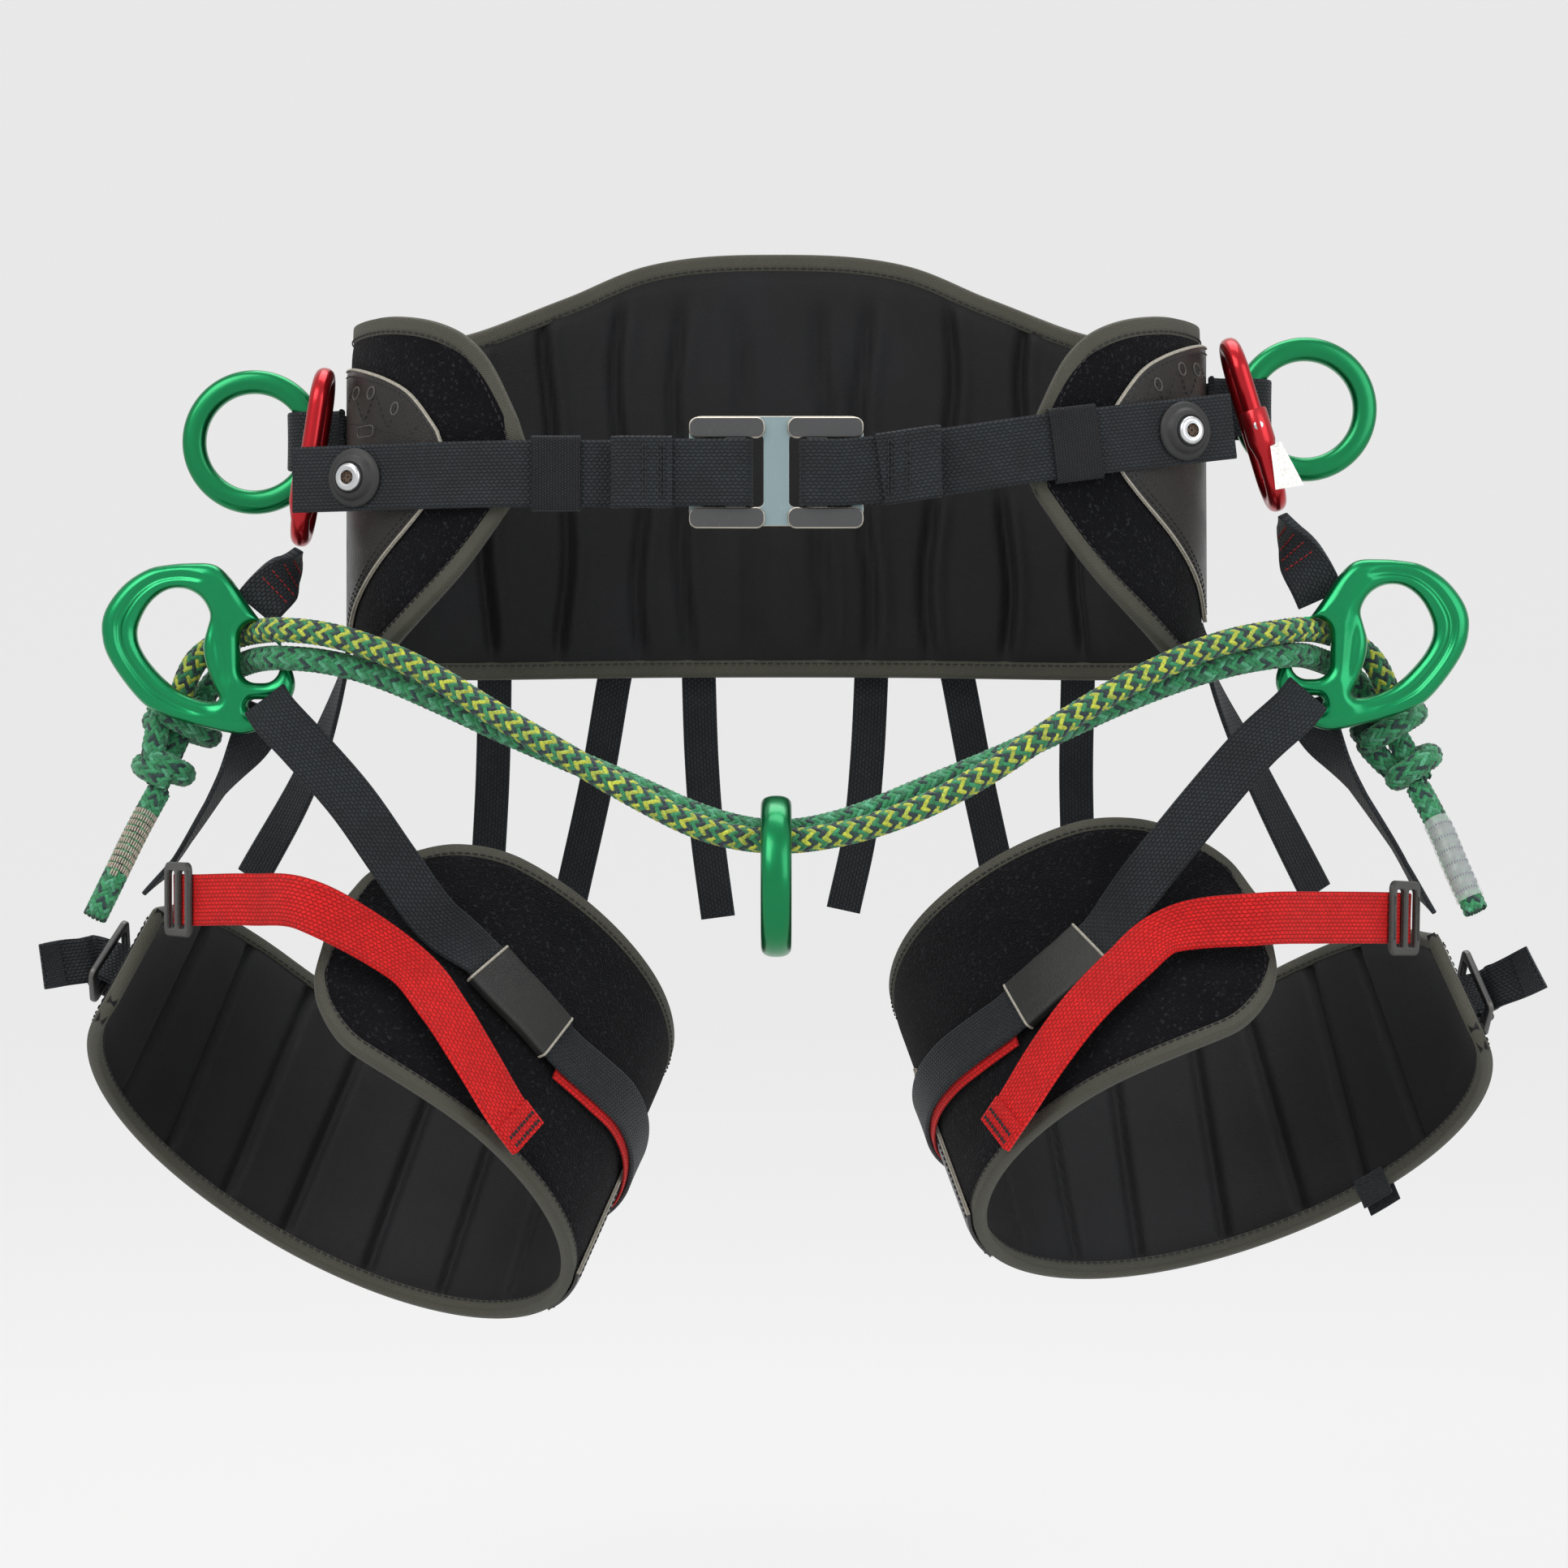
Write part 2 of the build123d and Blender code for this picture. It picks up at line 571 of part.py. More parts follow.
# ---------------------------------------------------------------- leg loops
class Leg:
    """Surface of one leg loop: angle 0 is the inner thigh, 90 the back, -90 the front."""

    def __init__(self, side):
        self.sign = -sides[side]
        shape = legs[side]
        self.centre = Vector(*shape["centre"])
        tilt = radians(leg_tilt)
        self.long_way = self.turned(Vector(self.sign, 0, 0), shape["turn"])
        self.back_way = self.turned(Vector(0, cos(tilt), -sin(tilt)), shape["turn"])
        self.down = self.turned(Vector(0, -sin(tilt), -cos(tilt)), shape["lean"])

    def turned(self, v, angle):
        a = radians(angle) * self.sign
        return Vector(v.X * cos(a) + v.Z * sin(a), v.Y, -v.X * sin(a) + v.Z * cos(a))

    def out(self, angle):
        a = radians(angle)
        return (self.long_way * (cos(a) / leg_width) + self.back_way * (sin(a) / leg_depth)).normalized()

    def at(self, angle, height, off=0.0):
        a = radians(angle)
        ring = self.long_way * (leg_width * cos(a)) + self.back_way * (leg_depth * sin(a))
        return self.centre + ring - self.down * height + self.out(angle) * off

    def sheet(self, angles, low, high, inner, outer):
        rows = []
        for a in angles:
            top, bottom = value_at(high, a), value_at(low, a)
            rows.append([self.at(a, top, inner), self.at(a, top, outer),
                         self.at(a, bottom, outer), self.at(a, bottom, inner)])
        return quad_loft(rows)


leg_angles = [-112, -110, -106, -100, -94, -84, -72, -60, -48, -36, -24, -12, 0, 12, 26, 40, 56, 72, 88, 104,
              120, 136, 150, 163, 175, 184, 190]


def make_leg(side):
    leg = Leg(side)
    half = leg_pad_thickness / 2
    write(f"leg_pad_{side}", leg.sheet(leg_angles, leg_low, leg_high, -half, half))
    first, last = leg_leather_span
    angles = [first + (last - first) * k / 4 for k in range(5)]
    low = [(first, leg_leather_heights[0]), (last, leg_leather_heights[0])]
    high = [(first, leg_leather_heights[1]), (last, leg_leather_heights[1])]
    inner = half + layer_gap
    write(f"leg_leather_{side}", leg.sheet(angles, low, high, inner, inner + leather_thickness))
    make_leg_straps(side, leg, half)


def make_leg_straps(side, leg, half):
    first_layer = half + 2 * layer_gap + leather_thickness + wrap_room + webbing_thickness / 2
    route = [Vector(*p) for p in leg_strap_route[side]]
    ways = [Vector(-leg.sign * 0.75, 0, -0.66) * -1 for _ in route]
    first_on_pad = len(route)
    for angle, height in leg_strap_wrap[side]:
        route.append(leg.at(angle, height, first_layer))
        ways.append(leg.down * -1)
    write(f"leg_strap_{side}", band(route, ways, leg_strap_width, webbing_thickness))
    keeper_inner = 2 * leg_keeper_clearance
    keeper_outer = keeper_inner + 2 * leg_keeper_wall
    covered = route[first_on_pad:first_on_pad + 4]
    up = ways[first_on_pad:first_on_pad + 4]
    ends = [covered[0] + (covered[1] - covered[0]) * 0.3, covered[3] - (covered[3] - covered[2]) * 0.3]
    sleeve = band([ends[0], covered[1], covered[2], ends[1]], up, leg_strap_width + keeper_outer,
                  webbing_thickness + keeper_outer)
    sleeve -= band(covered, up, leg_strap_width + keeper_inner, webbing_thickness + keeper_inner)
    write(f"leg_keeper_{side}", sleeve)
    second_layer = first_layer + webbing_thickness + leg_keeper_clearance + leg_keeper_wall + 2 * layer_gap
    route = [Vector(*p) for p in red_route[side]]
    ways = [Vector(0, 0, 1) for _ in route]
    for angle, height in red_wrap[side]:
        route.append(leg.at(angle, height, second_layer))
        ways.append(leg.down * -1)
    write(f"red_strap_{side}", band(route, ways, red_width, webbing_thickness))
    make_leg_hardware(side, leg)
    points = side_riser[side]
    ways = [(1, 0, 0), (0.8, 0.3, 0.4), (0.3, 0.8, 0.3), (0, 1, 0.1), (0, 1, 0)]
    ways = [(leg.sign * x, y, z) for x, y, z in ways]
    write(f"side_riser_{side}", band(points, ways, leg_strap_width, webbing_thickness))


def rectangle_frame(size, rail):
    """Flat metal loop with one window, or two where a middle bar fits."""
    wide, tall, thick = size
    flat = RectangleRounded(wide, tall, 3.0)
    flat -= RectangleRounded(wide - 2 * rail, tall - 2 * rail, 1.5)
    return extrude(flat, thick)


def make_leg_hardware(side, leg):
    first, second = [Vector(*p) for p in red_route[side][:2]]
    run = (second - first).normalized()
    out = run.cross(Vector(0, 0, 1)).normalized()
    out = out if out.Y < 0 else out * -1
    middle = first + (second - first) * lock_place
    lock = rectangle_frame(lock_size, lock_rail)
    lock += extrude(Rectangle(lock_rail, lock_size[1] - lock_rail), lock_size[2])
    face = middle + out * (webbing_thickness / 2 + layer_gap)
    write(f"ladder_lock_{side}", Plane(origin=face, x_dir=run, z_dir=out) * lock)
    angle, height, off = leg_buckle_place
    place = Plane(origin=leg.at(angle, height, off), x_dir=leg.down, z_dir=leg.out(angle))
    write(f"leg_buckle_{side}", place * rectangle_frame(leg_buckle_size, leg_buckle_rail))
    points = [leg.at(angle, height, off - 7), leg.at(angle, height, off + 7)] + leg_tail[side]
    down = leg.down
    ways = [down, down, down, (down.X, -0.3, -0.9), (down.X, 0, -1)]
    write(f"leg_tail_{side}", band(points, ways, leg_tail_width, webbing_thickness))


def make_risers():
    tails = []
    for side, parts in risers.items():
        for name, points in parts.items():
            if name == "outer_riser":
                sign = sides[side]
                ways = [(0, 1, 0), (0.2 * sign, 1, 0), (0.8 * sign, 0.8, 0.3), (sign, 0.3, 0.3)]
            else:
                ways = [(1, 0, 0)] * len(points)
            strap = band(points, ways, riser_width, webbing_thickness)
            if name == "loose":
                tails.append(strap)
            else:
                write(f"{name}_{side}", strap)
    write("loose_risers", Compound(tails))


make_rings()
make_ropes()
for one_side in sides:
    make_leg(one_side)
make_risers()
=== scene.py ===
import json
from math import ceil, cos, pi, radians, sin, sqrt
import bpy
import numpy as np
from mathutils import Matrix, Vector

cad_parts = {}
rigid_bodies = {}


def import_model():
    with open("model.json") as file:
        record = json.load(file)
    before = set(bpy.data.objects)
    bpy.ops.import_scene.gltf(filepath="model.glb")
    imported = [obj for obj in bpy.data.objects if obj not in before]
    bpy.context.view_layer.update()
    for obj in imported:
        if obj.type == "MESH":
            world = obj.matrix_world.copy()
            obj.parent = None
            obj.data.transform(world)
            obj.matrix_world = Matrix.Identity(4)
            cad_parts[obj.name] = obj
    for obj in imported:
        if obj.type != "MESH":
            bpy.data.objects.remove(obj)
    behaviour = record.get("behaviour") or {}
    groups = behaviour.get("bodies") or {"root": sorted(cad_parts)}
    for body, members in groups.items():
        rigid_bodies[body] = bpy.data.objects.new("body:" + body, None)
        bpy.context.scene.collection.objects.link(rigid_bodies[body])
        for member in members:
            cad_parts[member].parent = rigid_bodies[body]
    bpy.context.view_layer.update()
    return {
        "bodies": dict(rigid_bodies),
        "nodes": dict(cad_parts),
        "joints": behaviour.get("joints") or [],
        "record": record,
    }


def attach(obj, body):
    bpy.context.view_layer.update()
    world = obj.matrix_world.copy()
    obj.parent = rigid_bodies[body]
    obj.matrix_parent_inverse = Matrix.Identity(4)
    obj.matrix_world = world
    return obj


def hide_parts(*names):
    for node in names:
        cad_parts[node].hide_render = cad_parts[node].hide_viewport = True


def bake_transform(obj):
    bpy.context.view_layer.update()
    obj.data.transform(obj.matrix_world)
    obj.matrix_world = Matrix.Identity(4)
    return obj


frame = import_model()
print("loaded", len(frame["nodes"]), "nodes")

mm = 0.001
sides = {"left": -1, "right": 1}  # the sign of X, as seen from the front



# small tools, all in millimetres until a mesh is made
def unit(v):
    v = np.asarray(v, float)
    return v / np.maximum(np.linalg.norm(v, axis=-1, keepdims=True), 1e-12)


def tableValue(table, t):
    # smooth curve through (t, value) rows
    xs = np.array([row[0] for row in table], float)
    ys = np.array([row[1] for row in table], float)
    slopes = np.zeros(len(xs))
    slopes[1:-1] = (ys[2:] - ys[:-2]) / (xs[2:] - xs[:-2])
    t = np.clip(np.asarray(t, float), xs[0], xs[-1])
    i = np.clip(np.searchsorted(xs, t, side="right") - 1, 0, len(xs) - 2)
    span = xs[i + 1] - xs[i]
    u = (t - xs[i]) / span
    rise = u * u * (3 - 2 * u)
    bend = slopes[i] * u * (1 - u) ** 2 - slopes[i + 1] * u * u * (1 - u)
    return ys[i] + (ys[i + 1] - ys[i]) * rise + span * bend


def fineLine(points, step):
    # flat webbing and seams: an even, smooth line through a few points
    p = np.array(points, float)
    if len(p) == 2:
        count = max(2, int(np.linalg.norm(p[1] - p[0]) / step) + 1)
        return p[0] + (p[1] - p[0]) * np.linspace(0, 1, count)[:, None]
    ends = np.vstack([2 * p[0] - p[1], p, 2 * p[-1] - p[-2]])
    out = []
    for a, b, c, d in zip(ends, ends[1:], ends[2:], ends[3:]):
        ta, tc = np.sqrt(np.linalg.norm(b - a)), np.sqrt(np.linalg.norm(d - c))
        tb = np.sqrt(np.linalg.norm(c - b))
        inSlope = (b - a) / ta - (c - a) / (ta + tb) + (c - b) / tb
        outSlope = (c - b) / tb - (d - b) / (tb + tc) + (d - c) / tc
        u = np.linspace(0, 1, max(3, int(ceil(np.linalg.norm(c - b) / step))) + 1)[:-1, None]
        out.append((2 * u ** 3 - 3 * u ** 2 + 1) * b + (u ** 3 - 2 * u ** 2 + u) * tb * inSlope
                   + (3 * u ** 2 - 2 * u ** 3) * c + (u ** 3 - u ** 2) * tb * outSlope)
    return evenly(np.vstack(out + [p[-1:]]), step)


def lengths(line):
    return np.concatenate([[0], np.cumsum(np.linalg.norm(np.diff(line, axis=0), axis=1))])


def evenly(line, step):
    far = lengths(line)
    count = max(2, int(round(far[-1] / step)) + 1)
    at = np.linspace(0, far[-1], count)
    return np.stack([np.interp(at, far, line[:, k]) for k in range(3)], axis=1)


def along(line, values, at):
    far = lengths(line)
    return np.stack([np.interp(at, far, values[:, k]) for k in range(values.shape[1])], axis=1)


def meshPiece(name, verts, faces, material, body=None, uv=None, colour=None, sharp=None, mats=None,
              faceMats=None):
    mesh = bpy.data.meshes.new(name)
    mesh.from_pydata((np.asarray(verts) * mm).tolist(), [],
                     faces if isinstance(faces, list) else faces.tolist())
    obj = bpy.data.objects.new(name, mesh)
    bpy.context.scene.collection.objects.link(obj)
    for one in (mats or [material]):
        mesh.materials.append(one)
    if faceMats is not None:
        mesh.polygons.foreach_set("material_index", np.asarray(faceMats, np.int32))
    mesh.polygons.foreach_set("use_smooth", [True] * len(mesh.polygons))
    if uv is not None:
        layer = mesh.uv_layers.new(name="UVMap")
        loops = np.zeros(len(mesh.loops), np.int32)
        mesh.loops.foreach_get("vertex_index", loops)
        layer.data.foreach_set("uv", (np.asarray(uv, float)[loops] * mm).astype(np.float32).ravel())
    if colour is not None:
        layer = mesh.attributes.new("yarn", "FLOAT_COLOR", "POINT")
        layer.data.foreach_set("color", np.asarray(colour, np.float32).ravel())
    mesh.validate()
    mesh.update()
    if sharp is not None:
        mesh.set_sharp_from_angle(angle=radians(sharp))
    if body:
        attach(obj, body)
    return obj


def gridFaces(rows, columns, closeRows=False, closeColumns=False, start=0):
    r = np.arange(rows if closeRows else rows - 1)
    c = np.arange(columns if closeColumns else columns - 1)
    rr, cc = np.meshgrid(r, c, indexing="ij")
    r2, c2 = (rr + 1) % rows, (cc + 1) % columns
    quads = np.stack([rr * columns + cc, rr * columns + c2, r2 * columns + c2, r2 * columns + cc], axis=-1)
    return quads.reshape(-1, 4) + start


def slabFaces(rows, columns):
    # outer skin, inner skin and the rim between them
    size = rows * columns
    outer = gridFaces(rows, columns).tolist()
    inner = gridFaces(rows, columns, start=size)[:, ::-1].tolist()
    rim = [list(range(columns)), list(range(size - columns, size)), list(range(0, size, columns)),
           list(range(columns - 1, size, columns))]
    edges = [[p, q, q + size, p + size] for line in rim for p, q in zip(line, line[1:])]
    return outer + inner + edges, [1] * len(outer) + [0] * (len(inner) + len(edges))


def joinParts(parts):
    # parts are (verts, faces, uv); returns one set
    verts, faces, uvs, start = [], [], [], 0
    for v, f, uv in parts:
        verts.append(v)
        faces.extend((np.asarray(f) + start).tolist()
                     if not isinstance(f, list) else [[i + start for i in q] for q in f])
        uvs.append(uv if uv is not None else np.zeros((len(v), 2)))
        start += len(v)
    return np.vstack(verts), faces, np.vstack(uvs)


def joinedPiece(name, parts, finish, body, sharp=None):
    verts, faces, _ = joinParts(parts)
    piece = meshPiece(name, verts, faces, finishes[finish], body, sharp=sharp)
    return piece


def carried(line, first):
    # a normal carried along a line without twisting
    run = unit(np.gradient(line, axis=0))
    normals = np.zeros_like(line)
    normals[0] = unit(first - run[0] * np.dot(first, run[0]))
    for i in range(1, len(line)):
        n = normals[i - 1] - run[i] * np.dot(normals[i - 1], run[i])
        normals[i] = n / np.linalg.norm(n)
    return run, normals


def tube(line, radius, sidesCount=10, first=(0, 0, 1), caps=True):
    run, n = carried(line, np.array(first, float))
    b = np.cross(run, n)
    radius = np.broadcast_to(radius, len(line))
    a = np.linspace(0, 2 * pi, sidesCount, endpoint=False)
    ring = n[:, None, :] * np.cos(a)[None, :, None] + b[:, None, :] * np.sin(a)[None, :, None]
    verts = (line[:, None, :] + ring * radius[:, None, None]).reshape(-1, 3)
    faces = gridFaces(len(line), sidesCount, closeColumns=True).tolist()
    if caps:
        faces.append(list(range(sidesCount))[::-1])
        faces.append([len(verts) - sidesCount + k for k in range(sidesCount)])
    far = lengths(line)
    uv = np.stack(np.broadcast_arrays(a[None, :] * radius[:, None], far[:, None]), axis=-1).reshape(-1, 2)
    return verts, faces, uv


# node groups for the effects that several finishes share
class Nodes:
    def __init__(self, tree):
        self.tree = tree

    def add(self, kind, **settings):
        node = self.tree.nodes.new(kind)
        for key, value in settings.items():
            setattr(node, key, value)
        return node

    def feed(self, socket, value):
        if isinstance(value, bpy.types.NodeSocket):
            self.tree.links.new(value, socket)
        elif value is not None:
            socket.default_value = value

    def maths(self, operation, a, b=None, c=None, clamp=False):
        node = self.add("ShaderNodeMath", operation=operation, use_clamp=clamp)
        for socket, value in zip(node.inputs, (a, b, c)):
            self.feed(socket, value)
        return node.outputs[0]

    def noise(self, vector, scale, detail=3.0, rough=0.55):
        node = self.add("ShaderNodeTexNoise")
        self.feed(node.inputs["Vector"], vector)
        self.feed(node.inputs["Scale"], scale)
        self.feed(node.inputs["Detail"], detail)
        self.feed(node.inputs["Roughness"], rough)
        return node.outputs["Fac"]

    def mix(self, factor, a, b):
        node = self.add("ShaderNodeMix", data_type="RGBA")
        self.feed(node.inputs[0], factor)
        self.feed(node.inputs[6], a)
        self.feed(node.inputs[7], b)
        return node.outputs[2]

    def spread(self, value, low, high, outLow=0.0, outHigh=1.0):
        node = self.add("ShaderNodeMapRange", interpolation_type="SMOOTHSTEP")
        for socket, v in zip(node.inputs, (value, low, high, outLow, outHigh)):
            self.feed(socket, v)
        return node.outputs[0]

    def bump(self, height, distance, strength=1.0, normal=None):
        node = self.add("ShaderNodeBump")
        self.feed(node.inputs["Height"], height)
        self.feed(node.inputs["Distance"], distance)
        self.feed(node.inputs["Strength"], strength)
        self.feed(node.inputs["Normal"], normal)
        return node.outputs["Normal"]


def newGroup(name, inputs, outputs):
    tree = bpy.data.node_groups.new(name, "ShaderNodeTree")
    for label, kind, value in inputs:
        socket = tree.interface.new_socket(label, in_out="INPUT", socket_type="NodeSocket" + kind)
        if value is not None:
            socket.default_value = value
    for label, kind in outputs:
        tree.interface.new_socket(label, in_out="OUTPUT", socket_type="NodeSocket" + kind)
    n = Nodes(tree)
    return n, n.add("NodeGroupInput").outputs, n.add("NodeGroupOutput").inputs


def makeWeaveGroup():
    # plaited cells of webbing, from a UV map in metres: across, along
    n, given, out = newGroup("webbingWeave", [
        ("UV", "Vector", None), ("Cell width", "Float", 0.0015), ("Cell length", "Float", 0.0022),
        ("Lean", "Float", 0.25)], [("Height", "Float"), ("Shade", "Float")])
    parts = n.add("ShaderNodeSeparateXYZ")
    n.feed(parts.inputs[0], given["UV"])
    x = n.maths("DIVIDE", parts.outputs[0], given["Cell width"])
    column = n.maths("FLOOR", x)
    fx = n.maths("SUBTRACT", n.maths("FRACT", x), 0.5)
    odd = n.maths("MODULO", n.maths("ABSOLUTE", column), 2.0)
    lean = n.maths("MULTIPLY", n.maths("MULTIPLY", fx, given["Lean"]),
                   n.maths("SUBTRACT", n.maths("MULTIPLY", odd, 2.0), 1.0))
    y = n.maths("DIVIDE", parts.outputs[1], given["Cell length"])
    y = n.maths("ADD", n.maths("ADD", y, n.maths("MULTIPLY", odd, 0.5)), lean)
    fy = n.maths("SUBTRACT", n.maths("FRACT", y), 0.5)
    ax = n.maths("POWER", n.maths("ABSOLUTE", n.maths("MULTIPLY", fx, 2.0)), 2.2)
    ay = n.maths("POWER", n.maths("ABSOLUTE", n.maths("MULTIPLY", fy, 2.0)), 2.6)
    crown = n.maths("SUBTRACT", 1.0, n.maths("ADD", ax, ay), clamp=True)
    height = n.maths("POWER", crown, 0.5)
    cell = n.add("ShaderNodeCombineXYZ")
    n.feed(cell.inputs[0], column)
    n.feed(cell.inputs[1], n.maths("FLOOR", y))
    random = n.add("ShaderNodeTexWhiteNoise", noise_dimensions="3D")
    n.feed(random.inputs["Vector"], cell.outputs[0])
    threads = n.maths("MULTIPLY", n.maths("SINE", n.maths("MULTIPLY", fx, 24.0)), 0.08)
    n.feed(out["Height"], n.maths("ADD", height, threads))
    n.feed(out["Shade"], n.maths("MULTIPLY", n.maths("ADD", n.maths("MULTIPLY", height, 0.75), 0.25),
                                 n.maths("ADD", n.maths("MULTIPLY", random.outputs["Value"], 0.3), 0.7)))
    return n.tree


def makeTwillGroup():
    # fine slanting ribs, for binding tape
    n, given, out = newGroup("twillRibs", [
        ("UV", "Vector", None), ("Rib", "Float", 0.0011), ("Slant", "Float", 0.8)],
        [("Height", "Float"), ("Shade", "Float")])
    parts = n.add("ShaderNodeSeparateXYZ")
    n.feed(parts.inputs[0], given["UV"])
    lean = n.maths("MULTIPLY", parts.outputs[0], given["Slant"])
    phase = n.maths("DIVIDE", n.maths("ADD", parts.outputs[1], lean), given["Rib"])
    rib = n.maths("SINE", n.maths("MULTIPLY", phase, 2 * pi))
    cross = n.maths("SINE", n.maths("DIVIDE", parts.outputs[0], n.maths("MULTIPLY", given["Rib"], 0.14)))
    height = n.maths("ADD", n.maths("MULTIPLY", rib, 0.5), n.maths("MULTIPLY", cross, 0.18))
    n.feed(out["Height"], height)
    n.feed(out["Shade"], n.maths("ADD", n.maths("MULTIPLY", height, 0.22), 0.8))
    return n.tree


def makeGrainGroup():
    # leather pores and creases in object space
    n, given, out = newGroup("leatherGrain", [("Vector", "Vector", None), ("Size", "Float", 900.0)],
                             [("Height", "Float"), ("Wear", "Float")])
    pores = n.add("ShaderNodeTexVoronoi", feature="DISTANCE_TO_EDGE")
    n.feed(pores.inputs["Vector"], given["Vector"])
    n.feed(pores.inputs["Scale"], given["Size"])
    fine = n.noise(given["Vector"], n.maths("MULTIPLY", given["Size"], 1.6), 4.0)
    n.feed(out["Height"], n.maths("ADD", n.spread(pores.outputs["Distance"], 0.0, 0.25),
                                  n.maths("MULTIPLY", fine, 0.5)))
    n.feed(out["Wear"], n.spread(n.noise(given["Vector"], n.maths("MULTIPLY", given["Size"], 0.03), 5.0),
                                 0.4, 0.75))
    return n.tree


def makeFuzzGroup():
    # short looped nap or a fine knit, in object space
    n, given, out = newGroup("clothNap", [("Vector", "Vector", None), ("Size", "Float", 1600.0),
                                          ("Patch", "Float", 25.0)],
                             [("Height", "Float"), ("Fleck", "Float"), ("Cloud", "Float")])
    loops = n.add("ShaderNodeTexVoronoi", feature="F1")
    n.feed(loops.inputs["Vector"], given["Vector"])
    n.feed(loops.inputs["Scale"], given["Size"])
    n.feed(out["Height"], n.maths("SUBTRACT", 1.0, loops.outputs["Distance"]))
    n.feed(out["Fleck"], n.spread(n.noise(given["Vector"], n.maths("MULTIPLY", given["Size"], 0.45), 2.0),
                                  0.56, 0.74))
    n.feed(out["Cloud"], n.noise(given["Vector"], given["Patch"], 3.0))
    return n.tree


def makeWearGroup():
    # handling marks on bare or coloured metal
    n, given, out = newGroup("metalWear", [("Vector", "Vector", None), ("Scratch", "Float", 0.3)],
                             [("Rough", "Float"), ("Mark", "Float"), ("Height", "Float")])
    stretch = n.add("ShaderNodeMapping")
    n.feed(stretch.inputs["Vector"], given["Vector"])
    stretch.inputs["Scale"].default_value = (1400, 90, 260)
    lines = n.noise(stretch.outputs[0], 1.0, 4.0)
    clouds = n.noise(given["Vector"], 60.0, 4.0)
    n.feed(out["Rough"], n.maths("ADD", n.maths("MULTIPLY", clouds, 0.16), n.maths("MULTIPLY", lines, 0.08)))
    n.feed(out["Mark"], n.maths("MULTIPLY", n.spread(lines, 0.62, 0.8), given["Scratch"]))
    n.feed(out["Height"], lines)
    return n.tree


groups = {"weave": makeWeaveGroup(), "twill": makeTwillGroup(), "grain": makeGrainGroup(),
          "nap": makeFuzzGroup(),
          "wear": makeWearGroup()}
print("node groups made")


def newMaterial(name, **sockets):
    material = bpy.data.materials.new(name)
    material.use_nodes = True
    n = Nodes(material.node_tree)
    shader = material.node_tree.nodes["Principled BSDF"]
    for key, value in sockets.items():
        shader.inputs[key].default_value = value
    return material, n, shader


def place(n, group, **given):
    node = n.add("ShaderNodeGroup", node_tree=groups[group])
    for key, value in given.items():
        n.feed(node.inputs[key.replace("_", " ")], value)
    return node.outputs


def uvMap(n):
    return n.add("ShaderNodeUVMap", uv_map="UVMap").outputs[0]


def objectPlace(n):
    return n.add("ShaderNodeTexCoord").outputs["Object"]


def shade(colour, factor):
    return tuple(c * factor for c in colour[:3]) + (1,)


def webbingMaterial(name, colour, dark, cellWidth, cellLength, lean=0.3, depth=0.0005, sheen=0.07,
                    gloss=0.22):
    material, n, shader = newMaterial(name, Roughness=0.62)
    shader.inputs["Specular IOR Level"].default_value = gloss
    shader.inputs["Sheen Weight"].default_value = sheen
    shader.inputs["Sheen Roughness"].default_value = 0.4
    uv = uvMap(n)
    weave = place(n, "weave", UV=uv, Cell_width=cellWidth, Cell_length=cellLength, Lean=lean)
    cloud = n.noise(objectPlace(n), 45.0, 3.0)
    base = n.mix(weave["Shade"], dark, colour)
    n.feed(shader.inputs["Base Color"], n.mix(n.spread(cloud, 0.35, 0.7, 0.0, 0.35), base, shade(dark, 1.6)))
    n.feed(shader.inputs["Roughness"], n.spread(weave["Height"], 0.0, 1.0, 0.85, 0.5))
    n.feed(shader.inputs["Normal"], n.bump(weave["Height"], depth, 0.9))
    return material


def makeBindingMaterial():
    material, n, shader = newMaterial("bindingTape", Roughness=0.7)
    shader.inputs["Sheen Weight"].default_value = 0.06
    shader.inputs["Specular IOR Level"].default_value = 0.2
    ribs = place(n, "twill", UV=uvMap(n), Rib=0.0012, Slant=0.7)
    cloud = n.noise(objectPlace(n), 30.0, 3.0)
    base = n.mix(ribs["Shade"], (0.012, 0.012, 0.009, 1), (0.085, 0.084, 0.066, 1))
    n.feed(shader.inputs["Base Color"], n.mix(n.spread(cloud, 0.3, 0.8, 0, 0.3), base,
                                              (0.04, 0.04, 0.032, 1)))
    n.feed(shader.inputs["Normal"], n.bump(ribs["Height"], 0.0003, 0.9))
    return material


def makePadLiner():
    material, n, shader = newMaterial("padLiner", Roughness=0.6)
    shader.inputs["Sheen Weight"].default_value = 0.03
    shader.inputs["Specular IOR Level"].default_value = 0.24
    shader.inputs["Sheen Roughness"].default_value = 0.5
    where = objectPlace(n)
    nap = place(n, "nap", Vector=where, Size=2200.0, Patch=14.0)
    base = n.mix(n.spread(nap["Cloud"], 0.35, 0.7), (0.003, 0.003, 0.0036, 1), (0.0058, 0.006, 0.0074, 1))
    n.feed(shader.inputs["Base Color"], n.mix(n.maths("MULTIPLY", nap["Fleck"], 0.25), base,
                                              (0.016, 0.0165, 0.019, 1)))
    n.feed(shader.inputs["Normal"], n.bump(nap["Height"], 0.00025, 0.7))
    return material


